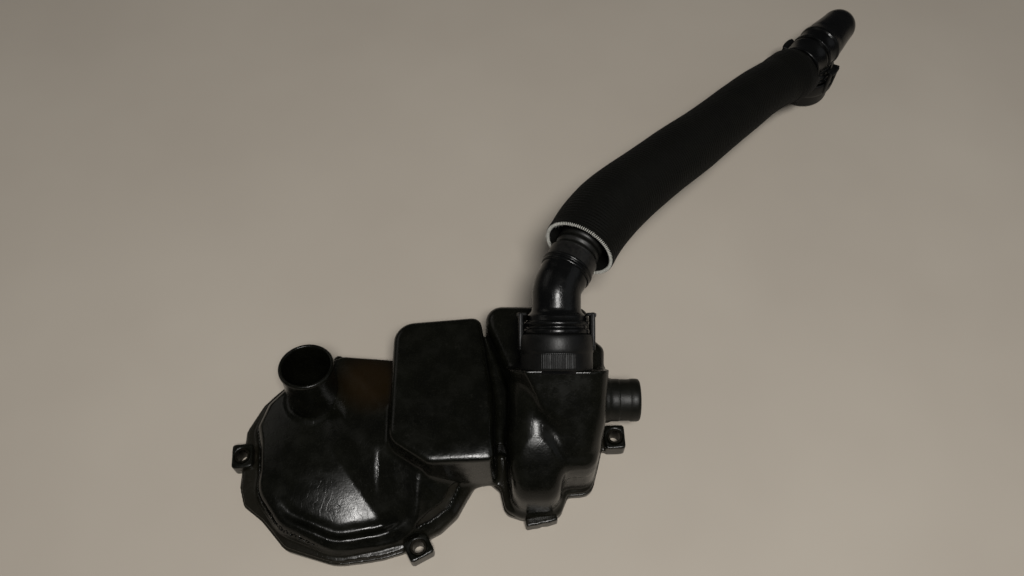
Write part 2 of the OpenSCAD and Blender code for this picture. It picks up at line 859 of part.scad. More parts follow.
// Compression spring between the plate and the bridge
module bypass_valve_spring() {
    z0 = valve_seat_z + 0.02 + valve_t + spring_wire + 0.05;
    z1 = guide_top - guide_t - spring_wire - 0.05;
    turns = 4;
    steps = 12;
    sides = 6;
    color(steel)
        translate([valve_at[0], valve_at[1], 0])
            swept([
                for (i = [0:turns * steps])
                    let (a = 360 * i / steps)
                    [valve_spring_r * cos(a), valve_spring_r * sin(a), z0 + (z1 - z0) * i / (turns * steps)]
            ], spring_wire, sides);
}

// Ring of points round a path's point, square to the path
function path_dir(path, i) =
    let (n = len(path) - 1)
    unit(path[min(n, i + 1)] - path[max(0, i - 1)]);
function path_ring(path, i, r, sides) =
    let (
        t = path_dir(path, i),
        s = unit(cross(t, [0, 0, 1])),
        u = cross(s, t)
    )
    [for (k = [0:sides - 1]) path[i] + r * (cos(360 * k / sides) * s - sin(360 * k / sides) * u)];

// Solid rod along a path
module swept(path, r, sides) {
    loft([for (i = [0:len(path) - 1]) path_ring(path, i, r, sides)]);
}

// Open tube along a path
module swept_tube(path, r_out, r_in, sides) {
    n = len(path);
    outer = [for (i = [0:n - 1]) each path_ring(path, i, r_out, sides)];
    inner = [for (i = [0:n - 1]) each path_ring(path, i, r_in, sides)];
    m = sides;
    shift = n * m;
    faces = concat(
        [
            for (j = [0:n - 2], i = [0:m - 1])
                let (k = (i + 1) % m)
                [j * m + i, (j + 1) * m + i, (j + 1) * m + k, j * m + k]
        ],
        [
            for (j = [0:n - 2], i = [0:m - 1])
                let (k = (i + 1) % m)
                [shift + j * m + i, shift + j * m + k, shift + (j + 1) * m + k, shift + (j + 1) * m + i]
        ],
        [for (i = [0:m - 1]) let (k = (i + 1) % m) [i, k, shift + k, shift + i]],
        [
            for (i = [0:m - 1])
                let (k = (i + 1) % m, e = (n - 1) * m)
                [e + k, e + i, shift + e + i, shift + e + k]
        ]
    );
    polyhedron(concat(outer, inner), faces, convexity = 8);
}

module hose() {
    color(rubber)
        swept_tube(hose_points, hose_r, hose_r - hose_wall, 12);
}

// The sleeve starts where the bare neck ends
module sleeve() {
    n = len(hose_points);
    path = concat(
        [hose_near + bare_near * near_out],
        [for (i = [3:n - 3]) hose_points[i]],
        [hose_far - 11 * far_dir, hose_far - 5 * far_dir]
    );
    color(textile)
        swept_tube(path, sleeve_r, sleeve_r - sleeve_wall, 12);
}

// Socket of a connector, drawn along +Z from its mouth
module socket_outside(r, l) {
    rotate_extrude($fn = 64)
        polygon([
            [0, 0], [r, 0], [r, l - 3], [r + 1.3, l - 3], [r + 1.3, l], [r - 0.4, l], [r - 0.4, l + 4],
            [elbow_r, l + 7], [elbow_r, l + 8], [0, l + 8]
        ]);
}

// Hollow of a socket, with the groove of its seal
module socket_inside(l, bore) {
    groove = seal_at;
    rotate_extrude($fn = 64)
        polygon([
            [0, -cut], [bore, -cut], [bore, groove], [bore + 1.5, groove], [bore + 1.5, groove + 2.4],
            [bore, groove + 2.4], [bore, l + 1.5], [bore - 2, l + 1.5], [elbow_bore + 1, l + 3],
            [elbow_bore + 1, l + 5], [0, l + 5]
        ]);
}

// Barb that holds a hose, drawn along +Z from the bead behind it
module barb() {
    rotate_extrude($fn = 64)
        polygon([
            [0, 0], [elbow_r + 1.6, 0], [elbow_r + 1.6, 2], [barb_r - 0.5, 2],
            [barb_r - 0.5, barb_l - 9], [barb_r, barb_l - 8], [barb_r - 0.5, barb_l - 5],
            [barb_r, barb_l - 4], [barb_r - 1, barb_l], [0, barb_l]
        ]);
}

// A bend of a round section, from straight tube a to straight tube b, that turn at the knuckle
module elbow_bend(knuckle, a, b, bend_r, r) {
    angle = acos(a * b);
    t = bend_r * tan(angle / 2);
    inward = unit(b - (b * a) * a);
    across = cross(-inward, a);
    middle = knuckle - t * a + bend_r * inward;
    translate(middle)
        rotate([atan2(a[2], across[2]), asin(inward[2]), atan2(-inward[1], -inward[0])])
            rotate_extrude(angle = angle, $fn = 64)
                translate([bend_r, 0])
                    circle(r = r, $fn = 64);
}

module near_connector() {
    bore = spigot_r + socket_gap;
    mouth = near_mid + socket_back * spigot_dir;
    tangent = elbow_bend_r * tan(acos(spigot_dir * near_out) / 2);
    neck_start = socket_l + 5;
    neck_end = knuckle_at - socket_back - tangent + 1;
    leg_start = tangent - 1;
    color(black)
        difference() {
            union() {
                along(mouth, spigot_dir) {
                    socket_outside(socket_r, socket_l);
                    translate([0, 0, neck_start])
                        cylinder(r = elbow_r - joint_step, h = neck_end - neck_start, $fn = 64);
                }
                elbow_bend(near_knuckle, spigot_dir, near_out, elbow_bend_r, elbow_r);
                along(near_knuckle + leg_start * near_out, near_out)
                    cylinder(r = elbow_r - joint_step, h = hose_stop + 1 - leg_start, $fn = 64);
                along(near_knuckle + hose_stop * near_out, near_out)
                    barb();
            }
            along(mouth, spigot_dir) {
                socket_inside(socket_l, bore);
                translate([0, 0, socket_l + 4])
                    cylinder(r = elbow_bore, h = neck_end - socket_l - 4, $fn = 64);
            }
            elbow_bend(near_knuckle, spigot_dir, near_out, elbow_bend_r, elbow_bore - joint_step);
            along(near_knuckle + leg_start * near_out, near_out)
                cylinder(r = elbow_bore, h = hose_stop + barb_l - leg_start + cut, $fn = 64);
        }
}

// Release ring: a convex band that clears the socket, two fluted pads, and two ears with a slit
module release_ring(pad_n) {
    inside = ring_r - ring_wall;
    pad_w = ring_w / 2;
    ear_w = 12;
    ear_from = 11;
    color(black)
        difference() {
            union() {
                rotate_extrude($fn = 64)
                    polygon([
                        [inside, 0], [ring_r - 0.9, 0], [ring_r - 0.7, pad_w - 1], [ring_r - 0.2, pad_w + 1],
                        [ring_r, pad_w + 4], [ring_r - 0.2, ring_w - 3], [ring_r - 0.9, ring_w], [inside, ring_w]
                    ]);
                for (a = [0, 180])
                    rotate([0, 0, a]) {
                        translate([inside + 0.2, -ear_w / 2, ear_from])
                            cube([ring_wall + 1, ear_w, ear_l - ear_from]);
                        translate([socket_r + 0.1, -ear_w / 2, ear_l - 1.8])
                            cube([inside - socket_r + 0.6, ear_w, 1.8]);
                    }
                for (side = [-90, 90], i = [0:pad_n - 1])
                    rotate([0, 0, side + (i - (pad_n - 1) / 2) * 3.6])
                        translate([ring_r - 1.2, -0.35, 0.6])
                            cube([1.3, 0.7, pad_w - 1]);
            }
            translate([0, 0, -cut])
                cylinder(r = socket_r + 0.05, h = ear_l + 2 * cut, $fn = 64);
            for (a = [0, 180])
                rotate([0, 0, a])
                    translate([inside - 1, -ear_w / 2 + 2.5, ring_w])
                        cube([ring_wall + 4, ear_w - 5, 7]);
        }
}

module near_release_ring() {
    along(near_mid + (socket_back + 2) * spigot_dir, spigot_dir)
        rotate([0, 0, 90])
            release_ring(14);
}

module o_ring(r) {
    color(rubber)
        rotate_extrude($fn = 64)
            translate([r + 0.72, 0])
                circle(r = 0.7, $fn = 20);
}

module near_seal() {
    along(near_mid + (socket_back + seal_at + 1.2) * spigot_dir, spigot_dir)
        o_ring(spigot_r + socket_gap);
}

// Ear clamp round a hose end
module clamp_band(ear) {
    color(steel)
        difference() {
            union() {
                cylinder(r = hose_r + 0.1 + clamp_t, h = clamp_w, $fn = 64);
                translate([hose_r + 0.5, -2.5, 0.5])
                    cube([ear, 5, clamp_w - 1]);
            }
            translate([0, 0, -cut])
                cylinder(r = hose_r + 0.1, h = clamp_w + 2 * cut, $fn = 64);
        }
}

module near_clamp() {
    along(hose_near + 3 * near_out, near_out)
        clamp_band(2.4);
}

module far_clamp() {
    along(hose_far - 11 * far_dir, far_dir)
        clamp_band(0.8);
}

// Angled connector: the socket stands on the table, and the barrel ends in a dome
module far_connector() {
    bore = spigot_r + socket_gap;
    sleeve_stop = elbow_r + 1.2;
    neck = far_reach - 1.7;
    color(black)
        difference() {
            union() {
                translate([far_mid[0], far_mid[1], 0]) {
                    socket_outside(socket_r, socket_l);
                    translate([0, 0, socket_l + 5])
                        cylinder(r = elbow_r - joint_step, h = far_z - socket_l - 5, $fn = 64);
                }
                along(far_mid - neck * far_dir, far_dir) {
                    cylinder(r = sleeve_stop, h = neck + 17.5, $fn = 64);
                    translate([0, 0, neck + 16.5])
                        cylinder(r1 = sleeve_stop - joint_step, r2 = dome_r - joint_step, h = dome_at - 16.5, $fn = 64);
                    translate([0, 0, neck + 7.5])
                        cylinder(r = sleeve_stop + 1, h = 3, $fn = 64);
                }
                translate(far_mid + dome_at * far_dir)
                    sphere(r = dome_r, $fn = 64);
                along(far_mid - (far_reach - 2.2) * far_dir, -far_dir)
                    barb();
            }
            translate([far_mid[0], far_mid[1], 0]) {
                socket_inside(socket_l, bore);
                translate([0, 0, socket_l + 4])
                    cylinder(r = elbow_bore, h = far_z - socket_l - 4, $fn = 64);
            }
            along(far_mid + (dome_at - 4) * far_dir, -far_dir)
                cylinder(r = elbow_bore - 0.7, h = dome_at + barb_l + far_reach - 4, $fn = 64);
        }
}

module far_release_ring() {
    translate([far_mid[0], far_mid[1], 2])
        rotate([0, 0, -42])
            release_ring(14);
}

module far_seal() {
    translate([far_mid[0], far_mid[1], seal_at + 1.2])
        o_ring(spigot_r + socket_gap);
}

front_housing();
rear_cover();
rear_gasket();
drain_seal();
bush_left();
bush_bottom();
bush_right();
baffle_insert();
nozzle_plate();
fleece_pad();
cyclone_insert();
vortex_tube();
drain_valve_seat();
drain_valve_disc();
bypass_valve_guide();
bypass_valve_plate();
bypass_valve_spring();
near_connector();
near_release_ring();
near_seal();
near_clamp();
hose();
sleeve();
far_connector();
far_release_ring();
far_seal();
far_clamp();
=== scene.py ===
import json
import math

import bpy
import numpy as np
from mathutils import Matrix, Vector


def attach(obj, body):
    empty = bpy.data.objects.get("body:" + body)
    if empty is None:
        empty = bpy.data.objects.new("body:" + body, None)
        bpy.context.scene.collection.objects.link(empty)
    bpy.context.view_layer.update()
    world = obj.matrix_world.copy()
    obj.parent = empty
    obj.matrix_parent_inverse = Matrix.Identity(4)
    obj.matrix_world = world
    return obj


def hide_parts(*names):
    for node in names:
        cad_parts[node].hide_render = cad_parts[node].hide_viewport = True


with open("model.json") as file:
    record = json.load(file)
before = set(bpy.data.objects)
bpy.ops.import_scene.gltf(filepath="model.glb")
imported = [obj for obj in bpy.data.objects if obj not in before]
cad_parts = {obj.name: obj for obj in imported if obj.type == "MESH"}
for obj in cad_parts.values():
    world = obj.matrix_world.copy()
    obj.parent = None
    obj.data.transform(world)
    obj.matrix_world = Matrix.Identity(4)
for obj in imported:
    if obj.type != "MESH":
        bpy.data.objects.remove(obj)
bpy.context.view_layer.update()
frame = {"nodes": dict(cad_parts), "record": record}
nodes = frame["nodes"]
rng = np.random.default_rng(7)
UP = (0, 0, 1)


# Camera
camera = bpy.data.objects.new("camera", bpy.data.cameras.new("camera"))
bpy.context.collection.objects.link(camera)
camera.location = (0.050, -0.180, 0.520)
camera.rotation_euler = (math.radians(30), 0, 0)
camera.data.lens = 31.18
camera.data.sensor_width = 36
bpy.context.scene.camera = camera


# Vectors and paths, in millimetres
def vec(*v):
    return np.array(v, float)


def unit(v):
    v = np.asarray(v, float)
    return v / np.linalg.norm(v)


def smoothstep(lo, hi, x):
    t = np.clip((x - lo) / (hi - lo), 0, 1)
    return t * t * (3 - 2 * t)


def spline(points, step):
    """Points every step along a smooth curve through the given points."""
    p = np.asarray(points, float)
    p = np.vstack([2 * p[0] - p[1], p, 2 * p[-1] - p[-2]])
    dense = []
    for i in range(1, len(p) - 2):
        a, b, c, d = p[i - 1:i + 3]
        t = np.linspace(0, 1, 24, endpoint=False)[:, None]
        cubic = (2 * a - 5 * b + 4 * c - d) * t ** 2 + (3 * b - a - 3 * c + d) * t ** 3
        dense.append(0.5 * (2 * b + (c - a) * t + cubic))
    dense = np.vstack(dense + [p[-2:-1]])
    run = np.r_[0, np.cumsum(np.linalg.norm(np.diff(dense, axis=0), axis=1))]
    s = np.linspace(0, run[-1], max(2, int(round(run[-1] / step)) + 1))
    return np.stack([np.interp(s, run, dense[:, k]) for k in range(3)], 1)


def run_length(path):
    return np.r_[0, np.cumsum(np.linalg.norm(np.diff(path, axis=0), axis=1))]


def path_frames(path, up=(0, 0, 1)):
    """The tangent at each point of a path and two unit vectors square to it, turned as little as possible."""
    tangent = np.gradient(path, axis=0)
    tangent /= np.linalg.norm(tangent, axis=1)[:, None]
    side = np.empty_like(path)
    s = unit(np.cross(tangent[0], up))
    for i, t in enumerate(tangent):
        s = unit(s - t * (s @ t))
        side[i] = s
    return tangent, side, np.cross(side, tangent)


# Meshes
def mesh_object(name, points, faces, smooth=True):
    """An object from points in millimetres."""
    mesh = bpy.data.meshes.new(name)
    faces = faces if isinstance(faces, list) else faces.tolist()
    mesh.from_pydata((np.asarray(points) / 1000).tolist(), [], faces)
    mesh.validate()
    if smooth:
        mesh.shade_smooth()
    obj = bpy.data.objects.new(name, mesh)
    bpy.context.collection.objects.link(obj)
    return obj


def grid_faces(rows, cols, flip=False):
    """Quads between rows of points, closed round each row."""
    i, j = np.meshgrid(np.arange(rows - 1), np.arange(cols), indexing="ij")
    k = (j + 1) % cols
    quad = np.stack([i * cols + j, i * cols + k, (i + 1) * cols + k, (i + 1) * cols + j], -1).reshape(-1, 4)
    return quad[:, ::-1] if flip else quad


class Shape:
    """Collects points and faces for one object."""

    def __init__(self):
        self.points, self.faces, self.count = [], [], 0

    def add(self, points, faces):
        points = np.asarray(points, float)
        self.faces += [[int(v) + self.count for v in f] for f in faces]
        self.points.append(points)
        self.count += len(points)

    def tube(self, path, radius, sides, up=(0, 0, 1), caps=(False, False), wave=None):
        """A tube with a radius for each point; wave(s, angle) adds to it."""
        _, side, top = path_frames(path, up)
        a = np.linspace(0, 2 * math.pi, sides, endpoint=False)
        r = np.broadcast_to(np.asarray(radius, float), (len(path),))[:, None] * np.ones(sides)
        if wave is not None:
            r = r + wave(run_length(path)[:, None], a[None, :])
        out = np.cos(a)[None, :, None] * side[:, None] + np.sin(a)[None, :, None] * top[:, None]
        ring = path[:, None] + r[..., None] * out
        points = ring.reshape(-1, 3)
        faces = grid_faces(len(path), sides, flip=True).tolist()
        n = len(points)
        if caps[0]:
            points = np.vstack([points, path[:1]])
            faces += [[n, (j + 1) % sides, j] for j in range(sides)]
        if caps[1]:
            base = (len(path) - 1) * sides
            points = np.vstack([points, path[-1:]])
            n = len(points) - 1
            faces += [[n, base + j, base + (j + 1) % sides] for j in range(sides)]
        self.add(points, faces)

    def lathe(self, at, axis, profile, sides=96, start=(1, 0, 0), wave=None, closed=False):
        """A profile of (radius, distance along the axis) turned round the axis."""
        at, axis = np.asarray(at, float), unit(axis)
        u = unit(np.asarray(start, float) - axis * np.dot(start, axis))
        v = np.cross(axis, u)
        p = np.asarray(profile, float)
        if closed:
            p = np.vstack([p, p[:1]])
        a = np.linspace(0, 2 * math.pi, sides, endpoint=False)
        r = p[:, :1] * np.ones(sides)
        if wave is not None:
            r = r + wave(p[:, 1:2], a[None, :], p[:, :1])
        out = np.cos(a)[None, :, None] * u + np.sin(a)[None, :, None] * v
        points = at + p[:, 1][:, None, None] * axis + r[..., None] * out
        self.add(points.reshape(-1, 3), grid_faces(len(p), sides))

    def block(self, size, bevel, bend):
        """A rounded block; bend maps its points to their place."""
        n = 6
        t = np.linspace(-1, 1, n)
        points, index, faces = [], {}, []
        for axis in range(3):
            for sign in (-1, 1):
                local = np.zeros((n, n, 3))
                b, c = (axis + 1) % 3, (axis + 2) % 3
                local[..., axis] = sign
                local[..., b], local[..., c] = np.meshgrid(t, t, indexing="ij")
                ids = np.zeros((n, n), int)
                for i in range(n):
                    for j in range(n):
                        key = tuple(np.round(local[i, j], 4))
                        if key not in index:
                            index[key] = len(points)
                            points.append(local[i, j])
                        ids[i, j] = index[key]
                for i in range(n - 1):
                    for j in range(n - 1):
                        f = [ids[i, j], ids[i + 1, j], ids[i + 1, j + 1], ids[i, j + 1]]
                        faces.append(f if sign > 0 else f[::-1])
        p = np.array(points)
        half = np.asarray(size, float) / 2
        inner = half - bevel
        spread = np.sign(p) * np.where(np.abs(p) > 0.9, 1, np.abs(p) * 1.6)
        core = np.clip(spread, -1, 1) * inner
        out = np.where(np.abs(p) > 0.99, np.sign(p), np.where(np.abs(p) > 0.5, p * 0.55, 0))
        out = out / np.maximum(np.linalg.norm(out, axis=1), 1e-9)[:, None]
        self.add(bend(core + out * bevel), faces)

    def object(self, name):
        return mesh_object(name, np.vstack(self.points), self.faces)


# Rounded plans: x, y and corner radius of each point
def outline(plan, arc=8):
    """Points along a plan with its corners rounded."""
    out, n = [], len(plan)
    for i in range(n):
        p, a, b = [np.array(plan[k % n][:2], float) for k in (i, i - 1, i + 1)]
        e1, e2 = unit(p - a), unit(b - p)
        n1 = vec(-e1[1], e1[0])
        turn = e1[0] * e2[1] - e1[1] * e2[0]
        r = plan[i][2]
        angle = math.atan2(turn, e1 @ e2)
        middle = p - r * math.tan(abs(angle) / 2) * e1 + np.sign(turn) * r * n1
        start = -np.sign(turn) * n1
        for k in range(arc + 1):
            c, s = math.cos(angle * k / arc), math.sin(angle * k / arc)
            out.append(middle + r * vec(start[0] * c - start[1] * s, start[0] * s + start[1] * c))
    return np.array(out)


RIM = [
    [-107, -31, 5], [-95, -40, 6], [-80, -56, 12], [-50, -65, 24], [-23, -61, 10], [-13, -58, 5],
    [9, -46, 8], [18, -37, 8], [28, -18.5, 5], [37, -16.5, 3], [43, -22, 4], [46, -35, 6],
    [56, -38.5, 5], [78, -37, 5], [83, -25, 2.5], [97, -23.5, 8], [105, 6, 10], [107.5, 54, 7],
    [100, 66, 7], [100, 82, 8], [32, 82, 8], [29, 74, 4], [-16, 72, 12], [-27, 63, 5],
    [-54, 64, 8], [-85, 52, 14], [-104, 32, 8], [-112, 15, 5], [-111, -20, 8],
]
BOWL = [
    [-101, -27, 22], [-84, -49, 26], [-50, -62, 30], [-24, -57, 14], [-12, -53, 5], [4, -44, 8], [15, -36, 8],
    [27, -9, 6], [27, 58, 8], [-27, 61, 5], [-54, 62, 8], [-83, 50, 12], [-101, 30, 8], [-106, 14, 7],
    [-103, 2, 6], [-101, -14, 6],
]
BOX = [[-22, 69, 14], [-21, -6, 12], [3, -21, 9], [18, -20, 9], [41.5, -18.5, 5], [40.5, 24, 24], [32, 74, 7]]
CHAMBER = [
    [30, 84, 11], [34, 66, 16], [47.5, 34, 20], [49, -23, 7], [97, -21, 9], [103.5, 4, 24],
    [106.5, 55, 7], [99, 62, 6], [98, 84, 10],
]


# Distance fields, turned into meshes
def smin(a, b, k):
    """The smaller of two distances, blended over k."""
    h = np.clip(0.5 + 0.5 * (b - a) / k, 0, 1)
    return b + (a - b) * h - k * h * (1 - h)


def smax(a, b, k):
    return -smin(-a, -b, k)


def lerp(a, b, w):
    return a + (b - a) * w


def rounded(u, w, edge):
    """The corner between two distances, rounded."""
    u, w = u + edge, w + edge
    return np.minimum(np.maximum(u, w), 0) + np.hypot(np.maximum(u, 0), np.maximum(w, 0)) - edge


CORNERS = [(i, j, k) for i in (0, 1) for j in (0, 1) for k in (0, 1)]


class Field:
    """A distance field on a grid; each shape touches only its own window of the grid."""

    def __init__(self, lo, hi, step):
        self.lo, self.step = np.array(lo, float), step
        self.shape = tuple(int(math.ceil((h - l) / step)) + 1 for l, h in zip(lo, hi))
        self.f = np.full(self.shape, 50.0, np.float32)

    def window(self, lo, hi, pad):
        cut = []
        for k in range(3):
            a = 0 if lo is None else max(0, int((lo[k] - pad - self.lo[k]) / self.step))
            b = self.shape[k]
            if hi is not None:
                b = min(b, int((hi[k] + pad - self.lo[k]) / self.step) + 2)
            cut.append(slice(a, b))
        axes = [(low + self.step * np.arange(c.start, c.stop)).astype(np.float32)
                for low, c in zip(self.lo, cut)]
        x, y, z = axes[0][:, None, None], axes[1][None, :, None], axes[2][None, None, :]
        return tuple(cut), x, y, z

    def join(self, shape, k=0.0, lo=None, hi=None):
        cut, x, y, z = self.window(lo, hi, k + 6)
        g = shape(x, y, z)
        self.f[cut] = smin(self.f[cut], g, k) if k > 0 else np.minimum(self.f[cut], g)

    def cut(self, shape, k=0.0, lo=None, hi=None):
        cut, x, y, z = self.window(lo, hi, k + 4)
        g = -shape(x, y, z)
        self.f[cut] = smax(self.f[cut], g, k) if k > 0 else np.maximum(self.f[cut], g)

    def mesh(self):
        """Surface nets: one point in each cell that the surface crosses, drawn onto the surface."""
        f, step = self.f, self.step
        inside = f < 0
        cell = np.zeros(tuple(n - 1 for n in f.shape), np.int8)
        for c in CORNERS:
            cell += inside[tuple(slice(o, o + n) for o, n in zip(c, cell.shape))]
        where = np.argwhere((cell > 0) & (cell < 8))
        value = np.stack([f[tuple((where + c).T)] for c in CORNERS], 1)
        total, count = np.zeros((len(where), 3)), np.zeros(len(where))
        for a in range(8):
            for b in range(a + 1, 8):
                ca, cb = np.array(CORNERS[a]), np.array(CORNERS[b])
                if np.abs(ca - cb).sum() != 1:
                    continue
                fa, fb = value[:, a], value[:, b]
                hit = (fa < 0) != (fb < 0)
                t = fa[hit] / (fa[hit] - fb[hit])
                total[hit] += ca + t[:, None] * (cb - ca)
                count[hit] += 1
        p = self.settle(where + total / count[:, None])
        number = np.full(cell.shape, -1, np.int64)
        number[tuple(where.T)] = np.arange(len(where))
        faces = []
        for axis in range(3):
            u, v = (axis + 1) % 3, (axis + 2) % 3
            a = [slice(0, n) for n in f.shape]
            b = [slice(0, n) for n in f.shape]
            a[axis], b[axis] = slice(0, -1), slice(1, None)
            change = inside[tuple(a)].astype(np.int8) - inside[tuple(b)].astype(np.int8)
            at = np.argwhere(change != 0)
            for w in (u, v):
                at = at[(at[:, w] > 0) & (at[:, w] < f.shape[w] - 1)]
            sign = change[tuple(at.T)]
            du, dv = np.eye(3, dtype=int)[u], np.eye(3, dtype=int)[v]
            quad = np.stack([number[tuple((at - o).T)] for o in (du + dv, dv, 0 * du, du)], 1)
            quad[sign < 0] = quad[sign < 0][:, ::-1]
            faces.append(quad)
        return self.lo + step * p, np.vstack(faces)

    def settle(self, p, rounds=3):
        """Points in grid steps, moved along the field's gradient onto its zero level."""
        f = self.f
        top = np.array(f.shape) - 2
        start = p.copy()
        for _ in range(rounds):
            base = np.clip(np.floor(p).astype(int), 0, top)
            t = p - base
            c = {o: f[tuple((base + o).T)].astype(float) for o in CORNERS}
            tx, ty, tz = t.T
            x00, x10 = lerp(c[0, 0, 0], c[1, 0, 0], tx), lerp(c[0, 1, 0], c[1, 1, 0], tx)
            x01, x11 = lerp(c[0, 0, 1], c[1, 0, 1], tx), lerp(c[0, 1, 1], c[1, 1, 1], tx)
            value = lerp(lerp(x00, x10, ty), lerp(x01, x11, ty), tz)
            dx = {(j, k): c[1, j, k] - c[0, j, k] for j in (0, 1) for k in (0, 1)}
            dz = {(i, j): c[i, j, 1] - c[i, j, 0] for i in (0, 1) for j in (0, 1)}
            gx = lerp(lerp(dx[0, 0], dx[1, 0], ty), lerp(dx[0, 1], dx[1, 1], ty), tz)
            gy = lerp(x10 - x00, x11 - x01, tz)
            gz = lerp(lerp(dz[0, 0], dz[1, 0], tx), lerp(dz[0, 1], dz[1, 1], tx), ty)
            g = np.stack([gx, gy, gz], 1)
            size = np.maximum((g * g).sum(1), 0.05)
            p = p - 0.8 * (value / size)[:, None] * g
            p = start + np.clip(p - start, -0.6, 0.6)
        return p


def plan_field(points, x, y):
    """Signed distance to a closed outline, below zero inside it."""
    gx, gy = np.broadcast_arrays(x[..., 0], y[..., 0])
    d = np.full(gx.shape, 1e9)
    inside = np.zeros(gx.shape, bool)
    for a, b in zip(points, np.roll(points, -1, 0)):
        ex, ey = b - a
        size = ex * ex + ey * ey
        if size < 1e-8:
            continue
        px, py = gx - a[0], gy - a[1]
        t = np.clip((px * ex + py * ey) / size, 0, 1)
        d = np.minimum(d, (px - t * ex) ** 2 + (py - t * ey) ** 2)
        if ey != 0:
            inside ^= ((gy >= a[1]) != (gy >= b[1])) & (gx < a[0] + py * ex / ey)
    return (np.where(inside, -1, 1) * np.sqrt(d)).astype(np.float32)[..., None]


def slab(d, z, z0, z1, edge, draft=0.0, low_edge=0.0):
    """A plan raised from z0 to z1 with a rounded top edge."""
    d = d + np.maximum(z - z0, 0) * math.tan(math.radians(draft))
    body = rounded(d, z - z1, edge)
    return np.maximum(body, rounded(d, z0 - z, low_edge) if low_edge else z0 - z)


def rod(at, axis, r, length, edge=0.0):
    """A round rod from a point along an axis."""
    axis = unit(axis)

    def shape(x, y, z):
        dx, dy, dz = x - at[0], y - at[1], z - at[2]
        t = dx * axis[0] + dy * axis[1] + dz * axis[2]
        rad = np.sqrt(np.maximum(dx * dx + dy * dy + dz * dz - t * t, 0))
        return rounded(rad - r, np.abs(t - length / 2) - length / 2, edge)
    return shape


def most(*fields):
    """The largest of several distances: what all of them enclose."""
    out = fields[0]
    for f in fields[1:]:
        out = np.maximum(out, f)
    return out


def turned(x, y, at, angle):
    """x and y from a point, in axes turned by an angle."""
    c, s = math.cos(angle), math.sin(angle)
    return (x - at[0]) * c + (y - at[1]) * s, (y - at[1]) * c - (x - at[0]) * s


def column(at, reach, low, high):
    """The window of a grid round an upright axis."""
    return (at[0] - reach, at[1] - reach, low), (at[0] + reach, at[1] + reach, high)


def plane(x, y, z, at, normal):
    """Signed distance to a plane, above zero on the normal's side."""
    n = unit(normal)
    return (x - at[0]) * n[0] + (y - at[1]) * n[1] + (z - at[2]) * n[2]


# Shared places, in millimetres
NEAR_DIR = vec(0, math.cos(math.radians(27)), math.sin(math.radians(27)))
NEAR_MID = vec(75, 46.5, 75)
NEAR_KNUCKLE = NEAR_MID + 26 * NEAR_DIR
NEAR_OUT = unit(vec(1, 2, 0))
HOSE_NEAR = NEAR_KNUCKLE + 12 * NEAR_OUT
FAR_DIR = unit(vec(7, 8, 0))
FAR_MID = vec(273, 300, 38)
HOSE_FAR = FAR_MID - 19 * FAR_DIR
HOSE_POINTS = [
    HOSE_NEAR, HOSE_NEAR + 11 * NEAR_OUT, HOSE_NEAR + 20 * NEAR_OUT,
    vec(97, 113, 86), vec(107, 127.5, 84), vec(119, 141.5, 81), vec(133, 156, 77.5), vec(149, 172.5, 73),
    vec(167, 191, 67), vec(186, 211, 60.5), vec(206, 232, 54), vec(225, 251.5, 48),
    HOSE_FAR - 20 * FAR_DIR, HOSE_FAR - 11 * FAR_DIR, HOSE_FAR,
]
STUB_FOOT = vec(-69, 27, 8)
STUB_DIR = vec(0, math.sin(math.radians(12)), math.cos(math.radians(12)))
STUB_L = 47 / math.cos(math.radians(12))
STUB_BORE = 14.2
PORT = (92, 26, 30)  # on the side port's axis, inside the chamber
PORT_DIR = (1, 0, 0)
PORT_BORE = 10.3
DRAIN = (64, -8)
BOWL_X, BARREL_X, MIDDLE_Y = -40, 64, 4
COVER_TOP, BOX_TOP, CHAMBER_TOP = 5.7, 50, 46
DRAFT = 2.0  # degrees
BOWL_WALL, BOWL_ROOF = 3.0, 2.8
LUG_R, LUG_BORE = 7.6, 4.6
LUGS = [(-111, -2, 95), (-3, -56, 28), (112, 10, 92)]  # x, y and turn in degrees


# Hose and sleeve
HOSE_R, BORE_R = 12.95, 10.9
CONVOLUTION = 4.2
hose_path = spline(HOSE_POINTS, 0.9)
hose_run = run_length(hose_path)
HOSE_LENGTH = hose_run[-1]


def hose_radius(s):
    """Smooth cuffs at both ends and convolutions between them."""
    ridge = 0.55 * np.cos(2 * math.pi * s / CONVOLUTION)
    bare = smoothstep(9, 13, s) * (1 - smoothstep(HOSE_LENGTH - 14, HOSE_LENGTH - 11, s))
    return HOSE_R + 0.45 * (1 - bare) + ridge * bare


shape = Shape()
shape.tube(hose_path, hose_radius(hose_run), 56)
inner = hose_path[::6]
shape.tube(inner[::-1], np.full(len(inner), BORE_R), 32)
hose = shape.object("hose_tube")
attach(hose, "housing")
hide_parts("hose")

sleeve_path = spline([
    HOSE_NEAR + 18.5 * NEAR_OUT, *HOSE_POINTS[3:-3], HOSE_FAR - 11 * FAR_DIR, HOSE_FAR - 5 * FAR_DIR], 0.3)
SLACK = unit(vec(0.62, -0.70, -0.35))  # the way the slack sleeve hangs off the hose
SLEEVE_WALL, RIB_PITCH = 1.5, 2.0
share = np.linspace(0, 1, len(sleeve_path))
sag = np.interp(share, [0, 0.1, 0.35, 0.5, 0.62, 0.8, 0.93, 1], [0.3, 1.0, 1.2, 1.2, 0.8, -0.3, -0.6, 0])
sleeve_path = sleeve_path + sag[:, None] * SLACK
sleeve_radius = np.interp(
    share, [0, 0.06, 0.13, 0.24, 0.36, 0.5, 0.65, 0.9, 0.96, 1],
    [21.0, 21.2, 21.0, 20.0, 19.2, 18.6, 18.0, 17.7, 19.4, 18.4])
SLEEVE_LENGTH = run_length(sleeve_path)[-1]


